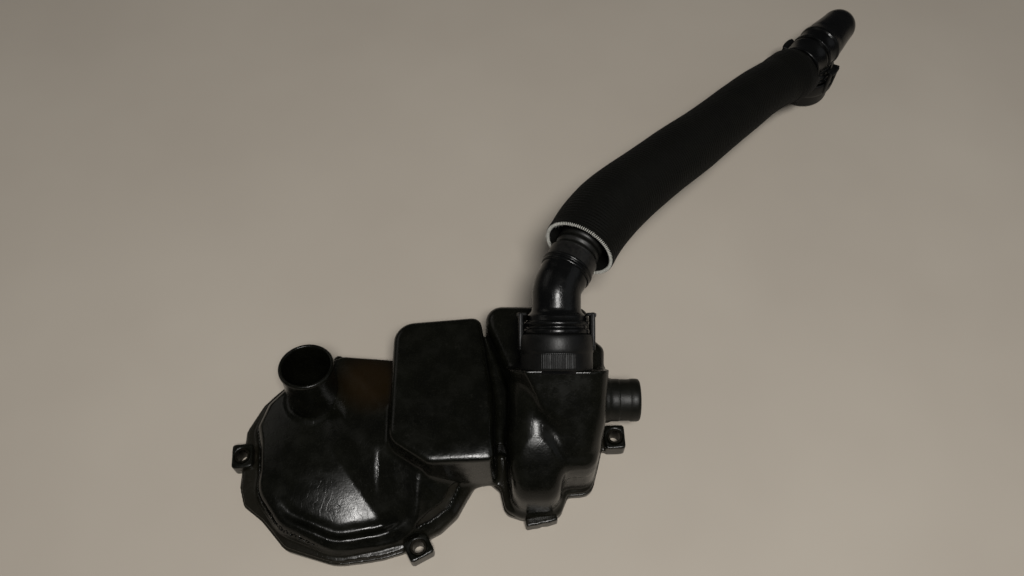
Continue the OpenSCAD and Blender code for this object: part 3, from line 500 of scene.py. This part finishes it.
def sleeve_wave(s, a):
    """Weft ribs, a slack bulge here and there, and a slight flattening under its own weight."""
    rib = 0.5 * np.abs(np.sin(math.pi * s / RIB_PITCH + 0.5 * np.sin(2 * a + s / 23))) ** 0.8
    slack = 0.35 * np.sin(s / 17 + 1.3 * np.sin(a)) * np.sin(a * 2 + s / 31)
    slack = slack + 0.25 * np.sin(s / 41 + 2 * a)
    end = smoothstep(0, 5, s) * (1 - smoothstep(SLEEVE_LENGTH - 4, SLEEVE_LENGTH, s))
    mouth = 0.5 * np.exp(-((s - 1.0) / 3.0) ** 2)
    return (rib * (1.15 - 0.7 * s / SLEEVE_LENGTH) + slack) * (0.35 + 0.65 * end) + mouth


shape = Shape()
shape.tube(sleeve_path, sleeve_radius, 72, wave=sleeve_wave)
shape.tube(sleeve_path[::8][::-1], sleeve_radius[::8][::-1] - SLEEVE_WALL, 48)
tangent, side, top = path_frames(sleeve_path)
# rolled edge at both ends, from the outside to the inside
for end, sign in ((0, 1), (len(sleeve_path) - 1, -1)):
    a = np.linspace(0, 2 * math.pi, 96, endpoint=False)
    spread = sleeve_radius[end] + np.array((0.4 if end == 0 else 0.1, 0, -0.6, -1.1, -SLEEVE_WALL))
    rise = (0.15, -0.35, -0.5, -0.3, 0.3)
    out = np.cos(a)[:, None] * side[end] + np.sin(a)[:, None] * top[end]
    rings = [sleeve_path[end] + r * out + sign * h * tangent[end] for r, h in zip(spread, rise)]
    shape.add(np.vstack(rings), grid_faces(5, 96, flip=(sign < 0)).tolist())
sleeve = shape.object("sleeve_cover")
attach(sleeve, "housing")
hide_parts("sleeve")

# Pale overcast thread and frayed yarn round the cut end
shape = Shape()
STITCHES, HAIRS, EVEN_HAIRS = 108, 170, 80
t0, s0, u0, p0 = tangent[0], side[0], top[0], sleeve_path[0]
for k in range(STITCHES):
    a = 2 * math.pi * k / STITCHES
    out = math.cos(a) * s0 + math.sin(a) * u0
    around = -math.sin(a) * s0 + math.cos(a) * u0
    c = p0 + (sleeve_radius[0] - 0.75) * out - 0.35 * t0
    bead = [
        c + 0.95 * out + 0.5 * t0, c + 0.62 * out - 0.3 * t0 + 0.1 * around, c + 0.18 * around - 0.6 * t0,
        c - 0.55 * out - 0.25 * t0 + 0.2 * around, c - 0.8 * out + 0.55 * t0 + 0.3 * around]
    width = np.array([0.18, 0.36, 0.42, 0.36, 0.18])
    shape.tube(np.array(bead), width, 6, up=tuple(around), caps=(True, True))
for k in range(HAIRS):
    a = rng.uniform(0, 2 * math.pi) if k < EVEN_HAIRS else rng.normal(2.75, 0.35)
    out = math.cos(a) * s0 + math.sin(a) * u0
    around = -math.sin(a) * s0 + math.cos(a) * u0
    r = sleeve_radius[0] + rng.uniform(-1.5, 0.3)
    l = rng.uniform(0.8, 2.4)
    lean = rng.normal(0, 0.5, 2)
    base = p0 + r * out + 0.4 * t0
    stray = lean[0] * out + lean[1] * around
    path = np.array([base, base - 0.5 * l * t0 + 0.25 * l * stray, base - l * t0 + 0.6 * l * stray])
    shape.tube(path, np.array([0.13, 0.11, 0.05]), 4, up=tuple(around), caps=(False, True))
fray = shape.object("sleeve_stitching")
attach(fray, "housing")


# Front housing
def bowl_top(x, y):
    """Height of the bowl's roof: a dome, and a folded duct whose facets meet in creases."""
    dome = 27 - 0.003 * np.minimum(x + 60, 0) ** 2 - 0.175 * 7 * np.logaddexp(0, (x + 47) / 7)
    dome = dome - 0.31 * 7 * np.logaddexp(0, (-19 - y) / 7) - 0.0013 * np.maximum(y + 8, 0) ** 2
    along = 0.627 * (x + 56) - 0.779 * (y + 4)
    across = 0.779 * (x + 56) + 0.627 * (y + 4)
    ramp = dome + 0.45 * smax(across - 7 * smoothstep(4, -26, along), 0, 0.8 + 5 * smoothstep(8, -10, along))
    slope = 35.4 + 0.25 * (x + 28) + 0.40 * (y - 2.5) + 0.6 * np.maximum(-26.5 - x, 0)
    deck = 33 + 0.05 * (x + 30)
    back = 33.5 - 0.42 * (0.67 * (x + 60.6) + 0.741 * (y - 54))
    pit = 0.7 * np.exp(-((x + 30) ** 2 + (y - 25) ** 2) / 14)
    return smin(smin(ramp, smin(slope, deck, 2.0), 1.0), back, 0.7) - pit


def front_housing():
    """The outside of the moulding, the hollow under its bowl and its bores."""
    field = Field((-120, -72, 1), (134, 90, 94), 1.0)
    x, y, z = field.window(None, None, 0)[1:]
    rim, bowl, box, chamber = [plan_field(outline(p), x, y) for p in (RIM, BOWL, BOX, CHAMBER)]
    wander = 0.35 * np.sin(x / 7.3 + 2 * np.sin(y / 11)) + 0.25 * np.sin(y / 4.1 + x / 9)
    field.join(lambda x, y, z: slab(rim + 1.0 + 0.4 * wander, z, COVER_TOP, 8.5, 0.8))

    # bowl: wall, domed roof with creases, bead along the front
    depth = -bowl
    right = smoothstep(-24, 8, x + 0.35 * (y + 50)) * smoothstep(20, 0, y)
    bead = smoothstep(-92, -70, x) * smoothstep(-6, -20, x) * smoothstep(-24, -38, y)
    groove, ridge = [bead * np.exp(-((depth - d) / w) ** 2) for d, w in ((12.0, 2.8), (7.0, 2.6))]
    roof = bowl_top(x, y) - 1.5 * groove + 2.0 * ridge
    steep = 3.0 - 2.05 * right
    level = smin(roof, 7 + steep * (depth + 4 * right), 2.0 + 5.0 * smoothstep(-60, -95, x))

    def bowl_body(x, y, z):
        wall = np.maximum(0.3 - depth - 6.0 * right, rim + 0.2)
        return smax((z - level) / np.sqrt(1 + 0.25 * steep ** 2), wall, 0.8)
    field.join(bowl_body, 2.5)

    # box, neck and chamber
    def box_body(x, y, z):
        front = plane(x, y, z, (3.8, -17.5, 50), (0.068, -0.262, 0.963))
        return smax(slab(box, z, COVER_TOP, BOX_TOP, 4.0, draft=DRAFT), front, 1.5)

    def neck(x, y, z):
        return most(np.abs(x - 41) - 10, np.abs(y - 33) - 34, z - 29)
    field.join(box_body, 4.0)
    field.join(neck, 3.0, (26, -14, 0), (56, 72, 40))
    field.join(lambda x, y, z: slab(chamber, z, COVER_TOP, CHAMBER_TOP, 6.0, draft=DRAFT), 2.5)

    # cyclone barrel, turning down into the sump
    def sump(x, y, z):
        reach = 36.5 - 3.4 * np.clip((z - 8) / 40, 0, 1) ** 2 - 24 * np.clip((z - 28) / 27, 0, 1.2) ** 2.4
        side = rounded(np.abs(x - BARREL_X) - 14, -y - reach, 9)
        roof = np.hypot(x - BARREL_X, np.maximum(z - 41, 0)) - 14
        return most(side * 0.85, np.where(z > 41, roof, -20), COVER_TOP - z, y - 5)
    field.join(rod((62.5, 33.5, 62.3), (0, -0.871, -0.491), 14, 51, 10), 9.0, (40, -40, 20), (92, 44, 84))
    field.join(sump, 7.0, (48, -40, 4), (80, 10, 62))

    # root that rises to the spigot: two broad facets that meet in one sharp crease
    def root(x, y, z):
        face = plane(x, y, z, NEAR_MID - 19.6 * NEAR_DIR, NEAR_DIR)
        facet = plane(x, y, z, (75, 20.4, 77.5), (0.03, -0.62, 0.785))
        left = plane(x, y, z, (56.2, 22.8, 79.2), (-0.592, -0.722, 0.357))
        left = left - 0.85 * 5 * np.logaddexp(0, (3 - y) / 5)
        body = smax(facet, left, 0.5 + 16 * smoothstep(10, -6, y))
        body = smax(body, chamber + 0.8, 12.0 - 8.0 * smoothstep(70, 55, x))
        return most(body, face, y - 44, 30 - z)
    field.join(root, 2.5)

    # stub foot and nub; port root and collar
    port_box = (88, 8, 12), (116, 44, 48)
    field.join(rod(STUB_FOOT, STUB_DIR, 16.6, 15.5, 1.5), 3.5, (-92, 2, 4), (-46, 52, 40))
    field.join(rod((-57, 55, 8), UP, 3.4, 16, 1.5), 2.0, (-64, 48, 4), (-50, 62, 30))
    field.join(rod(PORT, PORT_DIR, 12.6, 22, 0.8), 1.2, *port_box)
    field.join(rod(PORT, PORT_DIR, 13.4, 15.5, 1.0), 1.5, *port_box)
    # clearances round the lugs
    for lug in LUGS:
        field.cut(rod((*lug[:2], -5), UP, LUG_R, 18.5, 0.4), 0.8, *column(lug, 9, 0, 16))
    # hollow under the bowl, and the bores
    field.cut(lambda x, y, z: most(bowl + BOWL_WALL, x - 22, z - np.minimum(roof - BOWL_ROOF, 16.0)))
    field.cut(rod(STUB_FOOT - 6 * STUB_DIR, STUB_DIR, STUB_BORE, 60), 0.0, (-92, 2, 1), (-46, 60, 70))
    field.cut(rod((94, *PORT[1:]), PORT_DIR, PORT_BORE, 40), 0.0, (90, 8, 12), (134, 44, 48))
    return field.mesh()


points, faces = front_housing()
shape = Shape()
shape.add(points, faces.tolist())
# inlet stub with its rounded rim, side port and hose spigot
shape.lathe(STUB_FOOT, STUB_DIR, [
    (15.0, 6), (15.2, 20), (15.2, STUB_L - 4.4), (15.3, STUB_L - 3.8), (15.9, STUB_L - 3.1),
    (16.1, STUB_L - 2.2), (16.05, STUB_L - 1.2), (15.75, STUB_L - 0.45), (15.2, STUB_L - 0.1),
    (14.7, STUB_L - 0.05), (14.2, STUB_L - 0.35), (13.85, STUB_L - 1.2), (13.75, STUB_L - 3),
    (13.7, STUB_L - 12), (13.6, 24), (13.6, 0),
], sides=128)
shape.lathe(PORT, PORT_DIR, [
    (12.4, 14), (12.4, 21.0), (12.3, 22.6), (12.3, 27.0), (12.4, 27.6), (12.7, 28.2),
    (12.7, 31.6), (12.4, 32.8), (11.6, 33.4), (10.7, 33.5), (10.0, 33.2), (9.7, 32.5), (9.5, 29), (9.4, 10),
], start=UP)
shape.lathe(NEAR_MID, NEAR_DIR, [
    (0.5, -22.5), (13.9, -22.5), (13.9, -0.5), (13.0, 1.8), (11.8, 1.9), (11.7, -20), (0.5, -20),
], sides=64)
housing = shape.object("front_housing_shell")
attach(housing, "housing")
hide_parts("front_housing")


# Rear cover
def rear_cover():
    """The plate with its lugs, flash along the weld, opening and drain."""
    field = Field((-120, -72, -2), (122, 86, 15), 0.9)
    x, y, z = field.window(None, None, 0)[1:]
    rim = plan_field(outline(RIM), x, y)
    wander = 0.35 * np.sin(x / 5.3 + 2 * np.sin(y / 9)) + 0.3 * np.sin(y / 3.7 + x / 8)

    def flash(x, y, z):
        return np.hypot(rim + 0.5 + 0.3 * wander, (z - 5.3) * 1.1) - 0.75 - 0.25 * wander
    field.join(lambda x, y, z: slab(rim + 0.3 * wander, z, 0, 5.6, 0.9, low_edge=0.7))
    field.join(flash, 0.4)

    for lug in LUGS:
        inward = math.atan2(MIDDLE_Y - lug[1], (BOWL_X if lug[0] < 0 else BARREL_X) - lug[0])
        box = column(lug, 14, -2, 14)

        def web(x, y, z):
            u, v = turned(x, y, lug, inward)
            return most(np.abs(u - 4) - 9, np.abs(v) - 5.6, z - 5.1, 0.3 - z)

        def block(x, y, z):
            u, v = turned(x, y, lug, math.radians(lug[2]))
            return smax(rounded(np.abs(u) - 7.4, np.abs(v) - 6.2, 2.0), np.abs(z - 5.9) - 5.9, 0.8)
        field.join(web, 1.2, *box)
        field.join(block, 1.2, *box)
        field.cut(rod((*lug[:2], -4), UP, LUG_BORE, 20), 0.0, *box)

    # plain block in front of the sump
    def tab(x, y, z):
        u, v = turned(x, y, (67, -39.6), math.radians(12))
        u = np.abs(u) - 9.3 + 0.12 * np.sin(z * 1.7)
        v = np.abs(v) - 2.5 - 0.15 * np.sin(x * 0.9)
        return smax(smax(u, v, 0.7), np.abs(z - 5) - 5, 0.7)
    field.join(tab, 0.8, (54, -48, -2), (80, -30, 14))

    # crankcase opening with a raised edge and a faint step round it, drain, seal grooves
    mouth = plan_field(outline([[-88, -24, 9], [-36, -24, 9], [-36, 12, 9], [-88, 12, 9]]), x, y)
    drain_box = column(DRAIN, 14, -2, 15)

    def step(x, y, z):
        return np.where(mouth < 2.2, 50, most(rim + 8, mouth - 2.2, 2.6 - z))

    def drain_groove(x, y, z):
        return np.maximum(np.abs(np.hypot(x - DRAIN[0], y - DRAIN[1]) - 8) - 1.15, z - 2.1)
    field.join(lambda x, y, z: most(mouth - 2, z - 7.5, 0.4 - z), 0.8)
    field.cut(step, 0.5)
    field.join(rod((*DRAIN, 0.4), UP, 11.5, 12.4, 0.6), 0.8, *drain_box)
    field.cut(lambda x, y, z: np.maximum(mouth, -1), 0.7)
    field.cut(lambda x, y, z: np.maximum(np.abs(mouth - 5.5) - 2.15, z - 1.75), 0.3)
    field.cut(rod((*DRAIN, -4), UP, 5, 12), 0.3, *drain_box)
    field.cut(rod((*DRAIN, 6), UP, 7.5, 12), 0.3, *drain_box)
    field.cut(drain_groove, 0.2, *drain_box)
    return field.mesh()


points, faces = rear_cover()
cover = mesh_object("rear_cover_shell", points, faces)
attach(cover, "housing")
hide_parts("rear_cover")


# Quick connectors
def release_ring(name, node, mouth, axis, start):
    """Convex band with two fluted pads, and two ears with a slit; start points at the first ear."""
    shape = Shape()
    axis = unit(axis)
    base = mouth + 2 * axis
    u = unit(vec(*start) - axis * np.dot(start, axis))
    v = np.cross(axis, u)

    def flutes(s, a, r):
        out = np.zeros(np.broadcast(s, a).shape)
        band = smoothstep(0.4, 0.9, s) * smoothstep(9.4, 8.9, s) * (r > 19.6)
        for pad in (math.pi / 2, 3 * math.pi / 2):
            turn = np.angle(np.exp(1j * (a - pad)))
            on = smoothstep(0.50, 0.45, np.abs(turn)) * band
            out = out + on * (0.35 + 0.45 * np.cos(turn * 2 * math.pi / 0.058))
        return out

    profile = [(18.8, 0.3), (19.1, 0.0), (19.9, 0.0), (20.15, 0.15), (20.25, 0.45)]
    profile += [(20.3, s) for s in np.linspace(0.7, 9.0, 14)]
    profile += [
        (20.35, 9.4), (20.6, 9.9), (20.85, 10.6), (21.0, 12.0), (21.05, 14), (21.0, 16), (20.85, 17.6),
        (20.6, 18.8), (20.3, 19.5), (19.9, 19.9), (19.2, 20.0), (18.85, 19.8), (18.8, 19.4), (18.8, 10)]
    shape.lathe(base, axis, profile, sides=360, start=start, wave=flutes, closed=True)

    def curved(a0, r0, s0, size, bevel):
        """A rounded block bent round the axis, at an angle, a radius and a distance along the axis."""
        def bend(q):
            r, a = r0 + q[:, 0], a0 + q[:, 1] / r0
            out = np.outer(np.cos(a), u) + np.outer(np.sin(a), v)
            return base + np.outer(s0 + q[:, 2], axis) + r[:, None] * out
        shape.block(size, bevel, bend)

    for a0 in (0, math.pi):
        for sign in (-1, 1):
            curved(a0 + sign * 0.225, 20.6, 22.2, (2.7, 2.8, 19.6), 0.7)
        curved(a0, 20.6, 30.2, (2.7, 11.6, 3.6), 0.8)
        curved(a0, 20.9, 14.0, (1.9, 11.4, 6.2), 0.8)
        curved(a0, 19.0, 31.0, (3.4, 11.0, 1.8), 0.5)
        curved(a0, 21.9, 30.6, (1.0, 9.0, 2.0), 0.4)
    ring = shape.object(name)
    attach(ring, "housing")
    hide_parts(node)
    return ring


def bend_path(a, knuckle, b, r, tail, head, step=0.6):
    """Straight along a to a bend of radius r at the knuckle, then straight along b."""
    turn = math.acos(np.clip(a @ b, -1, 1))
    t = r * math.tan(turn / 2)
    inward = unit(b - (b @ a) * a)
    middle = knuckle - t * a + r * inward
    line1 = [knuckle - t * a - s * a for s in np.arange(tail, 0, -step)]
    angles = np.linspace(0, turn, max(6, int(turn * r / step)))
    curve = [middle + r * (-inward * math.cos(k) + a * math.sin(k)) for k in angles]
    line2 = [knuckle + t * b + s * b for s in np.arange(step, head, step)]
    return np.array(line1 + curve + line2)


SOCKET = [  # radius and distance from the mouth
    (14.2, 3.0), (14.2, 0.4), (14.5, 0.0), (16.8, 0.0), (17.2, 0.4), (17.2, 21.2), (17.4, 21.6),
    (18.2, 21.9), (18.5, 22.4), (18.5, 24.2), (18.3, 24.7), (17.6, 25.0), (17.3, 25.4), (17.3, 26.4),
    (17.6, 26.8), (18.2, 27.0), (18.4, 27.4), (18.4, 28.4), (18.2, 28.9), (17.4, 29.2), (16.9, 29.6),
    (16.8, 31.6), (16.5, 32.3), (15.4, 33.2), (14.4, 34.2), (13.95, 35.2), (13.8, 36.5),
]

near_mouth = NEAR_MID - 21.5 * NEAR_DIR
shape = Shape()
shape.lathe(near_mouth, NEAR_DIR, SOCKET, sides=128)
path = bend_path(NEAR_DIR, NEAR_KNUCKLE, NEAR_OUT, 15.0, 8.6, 6.2)
run = run_length(path)
radius = 13.8 + 0.25 * smoothstep(run[-1] - 6, run[-1] - 2, run)
shape.tube(path, radius, 96, up=(1, 0, 0))
end = path[-1] - 0.4 * NEAR_OUT
shape.lathe(end, NEAR_OUT, [
    (13.9, 0), (14.5, 0.2), (14.9, 0.7), (14.95, 1.6), (14.6, 2.1), (14.2, 2.3), (14.2, 2.8), (14.6, 3.1),
    (15.1, 3.5), (15.2, 4.4), (14.8, 4.9), (13.4, 5.1), (10.4, 5.2), (10.4, 16), (9.6, 18), (8.0, 18),
    (8.0, 2),
])
near = shape.object("near_connector_body")
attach(near, "housing")
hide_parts("near_connector")
near_ring = release_ring("near_ring", "near_release_ring", near_mouth, NEAR_DIR, (1, 0, 0))

shape = Shape()
far_mouth = vec(FAR_MID[0], FAR_MID[1], 0)
shape.lathe(far_mouth, UP, SOCKET, sides=128)
shape.lathe(far_mouth, UP, [(13.8, 35), (13.8, 38), (1, 38)], sides=64)
shape.lathe(far_mouth, UP, [(14.2, 2.5), (14.2, 30), (9, 31), (9, 36), (0.5, 36)], sides=64)
back = FAR_MID - 17.3 * FAR_DIR
profile = [
    (10.0, -1.4), (14.6, -1.3), (15.2, -1.0), (15.3, -0.2), (15.1, 0.4), (15.0, 9.8), (15.3, 10.3),
    (15.3, 12.2), (15.0, 12.7), (15.0, 24.2), (15.4, 24.7), (16.0, 25.1), (16.1, 26.3), (16.0, 27.5),
    (15.5, 27.9), (15.1, 28.4), (15.0, 33), (14.8, 35), (14.2, 40), (13.4, 46), (12.8, 52.0)]
dome = np.linspace(0.05, math.pi / 2 - 0.02, 18)
profile += [(12.8 * math.cos(t), 52.3 + 12.8 * math.sin(t)) for t in dome]
collar = [(15.0, 14), (15.8, 14.2), (15.9, 14.6), (15.9, 16.4), (15.8, 16.8), (15.0, 17)]
barb = [(10.4, 0), (10.4, 14.2), (9.4, 15.5), (7.5, 15.5), (7.5, 2)]
shape.lathe(back, FAR_DIR, profile, start=UP)
shape.lathe(back, FAR_DIR, collar, start=UP)
shape.lathe(back, -FAR_DIR, barb, sides=64, start=UP)
far = shape.object("far_connector_body")
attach(far, "housing")
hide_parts("far_connector")
ear = math.radians(-42)
far_ring = release_ring("far_ring", "far_release_ring", far_mouth, UP, (math.cos(ear), math.sin(ear), 0))


# Materials
BLACK, WHITE = (0, 0, 0, 1), (1, 1, 1, 1)


class Look:
    """A Principled material, with short calls for its nodes."""

    def __init__(self, name):
        self.material = bpy.data.materials.new(name)
        self.material.use_nodes = True
        self.tree = self.material.node_tree
        self.shader = self.tree.nodes["Principled BSDF"]
        self.where = self.tree.nodes.new("ShaderNodeTexCoord").outputs["Object"]

    def feed(self, socket, value):
        """A uniform value set on the socket itself, or a link from another node."""
        if isinstance(value, (tuple, int, float)):
            socket.default_value = value
        else:
            self.tree.links.new(value, socket)

    def put(self, socket, value):
        self.feed(self.shader.inputs[socket], value)

    def node(self, kind, **values):
        n = self.tree.nodes.new(kind)
        for key, value in values.items():
            if key in n.inputs:
                self.feed(n.inputs[key], value)
            else:
                setattr(n, key, value)
        return n

    def noise(self, scale, detail=4.0, rough=0.55):
        n = self.node("ShaderNodeTexNoise", Vector=self.where, Scale=scale, Detail=detail, Roughness=rough)
        return n.outputs["Fac"]

    def ramp(self, source, *stops):
        n = self.node("ShaderNodeValToRGB", Fac=source)
        for item, (at, colour) in zip(n.color_ramp.elements, stops):
            item.position = at
            item.color = colour
        return n.outputs["Color"]

    def maths(self, kind, a, b):
        n = self.node("ShaderNodeMath", operation=kind)
        self.feed(n.inputs[0], a)
        self.feed(n.inputs[1], b)
        return n.outputs[0]

    def times(self, a, b):
        return self.maths("MULTIPLY", a, b)

    def plus(self, a, b):
        return self.maths("ADD", a, b)

    def mix(self, fac, a, b):
        n = self.node("ShaderNodeMix", data_type="RGBA")
        for socket, value in (("Factor", fac), ("A", a), ("B", b)):
            self.feed(n.inputs[socket], value)
        return n.outputs["Result"]

    def bump(self, height, distance, strength=1.0, before=None):
        n = self.node("ShaderNodeBump", Distance=distance, Strength=strength, Height=height)
        if before is not None:
            self.feed(n.inputs["Normal"], before)
        return n.outputs["Normal"]

    def away(self, place):
        """The distance in metres from a place."""
        n = self.node("ShaderNodeVectorMath", operation="DISTANCE")
        self.feed(n.inputs[0], self.where)
        self.feed(n.inputs[1], place)
        return n.outputs["Value"]


def rgb(r, g, b):
    return (r, g, b, 1)


def moulded_black(name, tint, rough, grain, dust, reflection_patch=None, dull=None):
    """Black plastic with an oil film, dust specks and grime, a painted reflection as a lighter brown patch,
    painted floor light low down, and a duller patch.
    """
    k = Look(name)
    broad, fine = k.noise(38, 5), k.noise(900, 2)
    base = k.ramp(broad, (0.3, rgb(*[c * 0.6 for c in tint])), (0.7, rgb(*[c * 1.5 for c in tint])))
    film = k.ramp(k.noise(95, 6, 0.62), (0.42, BLACK), (0.66, WHITE))
    speck = k.ramp(k.noise(1400, 2, 0.6), (0.55, BLACK), (0.74, WHITE))
    grime = k.ramp(k.noise(230, 6, 0.7), (0.60, BLACK), (0.78, WHITE))
    colour = k.mix(k.times(film, 0.5 * dust), base, rgb(0.013, 0.013, 0.008))
    colour = k.mix(k.times(grime, 0.5 * dust), colour, rgb(0.035, 0.031, 0.022))
    colour = k.mix(k.times(speck, 0.6 * dust), colour, rgb(0.045, 0.045, 0.034))
    # Painted reflection: a lighter orange-brown patch on the bowl's back facet.
    if reflection_patch:
        reflection_mask = k.ramp(k.away(reflection_patch), (0.010, WHITE), (0.024, BLACK))
        colour = k.mix(k.times(reflection_mask, 0.75), colour, rgb(0.017, 0.0095, 0.003))
        # Painted floor light: lighter below about 6 to 10 mm on the rim and flange, partly dust.
        height = k.node("ShaderNodeSeparateXYZ", Vector=k.where).outputs["Z"]
        low = k.ramp(height, (0.006, WHITE), (0.0105, BLACK))
        colour = k.mix(k.times(low, 0.55), colour, rgb(0.030, 0.026, 0.019))
    k.put("Base Color", colour)
    r = k.plus(k.times(film, 0.12), rough)
    r = k.plus(r, k.times(grime, 0.16))
    if dull:
        patch = k.ramp(k.away(dull), (0.018, WHITE), (0.024, BLACK))
        r = k.plus(r, k.times(patch, 0.2))
    k.put("Roughness", r)
    k.put("IOR", 1.5)
    k.put("Specular IOR Level", 0.3)
    relief = k.bump(fine, 0.00012, grain)
    relief = k.bump(k.noise(150, 3), 0.0005, 0.22, relief)
    scratch = k.node("ShaderNodeTexWave", Vector=k.where, Scale=60.0, Distortion=14.0, Detail=3.0)
    line = k.ramp(scratch.outputs["Fac"], (0.0, BLACK), (0.03, WHITE))
    k.put("Normal", k.bump(line, 0.00008, 0.25, relief))
    return k.material


def plain(name, dark, light, rough, scale=300, depth=0.0002, metallic=0.0, sheen=0.0):
    k = Look(name)
    n = k.noise(scale, 5)
    k.put("Base Color", k.ramp(n, (0.3, rgb(*dark)), (0.72, rgb(*light))))
    k.put("Roughness", k.plus(k.times(k.noise(scale * 0.4, 4), 0.3), rough - 0.15))
    k.put("Normal", k.bump(n, depth, 0.5))
    k.put("Metallic", metallic)
    k.put("Sheen Weight", sheen)
    return k.material


def textile(name):
    k = Look(name)
    fibre, patch = k.noise(2600, 3, 0.7), k.noise(60, 4)
    base = k.ramp(patch, (0.3, rgb(0.0008, 0.0008, 0.0003)), (0.72, rgb(0.0022, 0.0022, 0.0011)))
    fuzz = k.ramp(fibre, (0.52, BLACK), (0.78, WHITE))
    k.put("Base Color", k.mix(k.times(fuzz, 0.3), base, rgb(0.014, 0.014, 0.009)))
    k.put("Specular IOR Level", 0.12)
    k.put("Roughness", k.plus(k.times(fibre, 0.3), 0.55))
    weave = k.node("ShaderNodeTexVoronoi", Vector=k.where, Scale=1500.0, Randomness=0.55)
    k.put("Normal", k.bump(fibre, 0.0003, 0.6, k.bump(weave.outputs["Distance"], 0.0004, 0.5)))
    k.put("Sheen Weight", 0.015)
    k.put("Sheen Roughness", 0.5)
    return k.material


looks = {
    # The moulding's lighter brown patch near (-0.034, 0.038) is a painted reflection.
    "moulding": moulded_black(
        "moulding_look", (0.0026, 0.0027, 0.0016), 0.21, 0.5, 0.25,
        reflection_patch=(-0.034, 0.038, 0.031), dull=(0.118, 0.026, 0.030)),
    "connector_plastic": moulded_black("connector_look", (0.0026, 0.0027, 0.0028), 0.22, 0.35, 0.10),
    "ring_plastic": moulded_black("ring_look", (0.0022, 0.0023, 0.0022), 0.42, 0.35, 0.10),
    "hose_rubber": plain("hose_look", (0.003, 0.003, 0.0025), (0.008, 0.008, 0.0065), 0.42, 420, 0.00025),
    "sleeve_textile": textile("sleeve_look"),
    "seal_rubber": plain("seal_look", (0.008, 0.008, 0.008), (0.018, 0.018, 0.018), 0.55, 500, 0.0001),
    "steel": plain(
        "steel_look", (0.010, 0.009, 0.007), (0.035, 0.031, 0.024), 0.42, 700, 0.0001, metallic=1.0),
    "clamp_steel": plain(
        "clamp_look", (0.006, 0.006, 0.006), (0.02, 0.019, 0.017), 0.4, 600, 0.0001, metallic=0.3),
    "inner_plastic": plain("inner_look", (0.030, 0.031, 0.034), (0.058, 0.060, 0.064), 0.42, 380, 0.0002),
    "fleece": plain("fleece_look", (0.34, 0.30, 0.20), (0.62, 0.57, 0.44), 0.85, 900, 0.0012, sheen=0.3),
}
thread = plain("thread_look", (0.34, 0.34, 0.30), (0.66, 0.65, 0.60), 0.75, 1500, 0.0003, sheen=0.3)


def dress(obj, look):
    obj.data.materials.clear()
    obj.data.materials.append(look)


for slot, pieces in (
        ("moulding", (housing, cover)), ("hose_rubber", (hose,)), ("sleeve_textile", (sleeve,)),
        ("connector_plastic", (near, far)), ("ring_plastic", (near_ring, far_ring))):
    for obj in pieces:
        dress(obj, looks[slot])
dress(fray, thread)
slot_of = {s["node"]: s["material_slot"] for s in frame["record"]["subparts"]}
for name, obj in nodes.items():
    for k in range(max(1, len(obj.material_slots))):
        if obj.material_slots:
            obj.material_slots[k].material = looks[slot_of[name]]
        else:
            obj.data.materials.append(looks[slot_of[name]])


# Floor and light
def floor_look():
    k = Look("floor_look")
    tone = k.ramp(k.noise(6, 3), (0.3, rgb(0.51, 0.455, 0.385)), (0.7, rgb(0.55, 0.495, 0.42)))
    k.put("Base Color", tone)
    k.put("Roughness", 0.75)
    return k.material


HALF = 6000  # of the floor's side
square = [(-HALF, -HALF, 0), (HALF, -HALF, 0), (HALF, HALF, 0), (-HALF, HALF, 0)]
floor = mesh_object("floor", square, [[0, 1, 2, 3]], smooth=False)
dress(floor, floor_look())

world = bpy.data.worlds.new("world")
bpy.context.scene.world = world
world.use_nodes = True
sky = world.node_tree.nodes["Background"].inputs
sky["Color"].default_value = rgb(0.92, 0.95, 1.0)
sky["Strength"].default_value = 0.035


def lamp(name, at, to, size, power, colour):
    """An area light in metres and watts, turned towards a point."""
    data = bpy.data.lights.new(name, "AREA")
    data.shape = "RECTANGLE"
    data.size, data.size_y = size
    data.energy = power
    data.color = colour
    obj = bpy.data.objects.new(name, data)
    bpy.context.collection.objects.link(obj)
    obj.location = at
    obj.rotation_euler = (Vector(to) - Vector(at)).to_track_quat("-Z", "Y").to_euler()


lamp("key", (0.15, -0.44, 1.18), (0.03, 0.03, 0.02), (0.28, 0.24), 11.0, (1.0, 0.98, 0.95))
lamp("side", (-1.1, 0.75, 1.0), (0.05, 0.1, 0.02), (0.9, 0.6), 0.8, (1.0, 0.95, 0.88))
lamp("fill", (1.2, 0.0, 0.9), (0.05, 0.1, 0.02), (0.9, 0.9), 0.7, (0.93, 0.96, 1.0))

bpy.context.scene.view_settings.view_transform = "Standard"
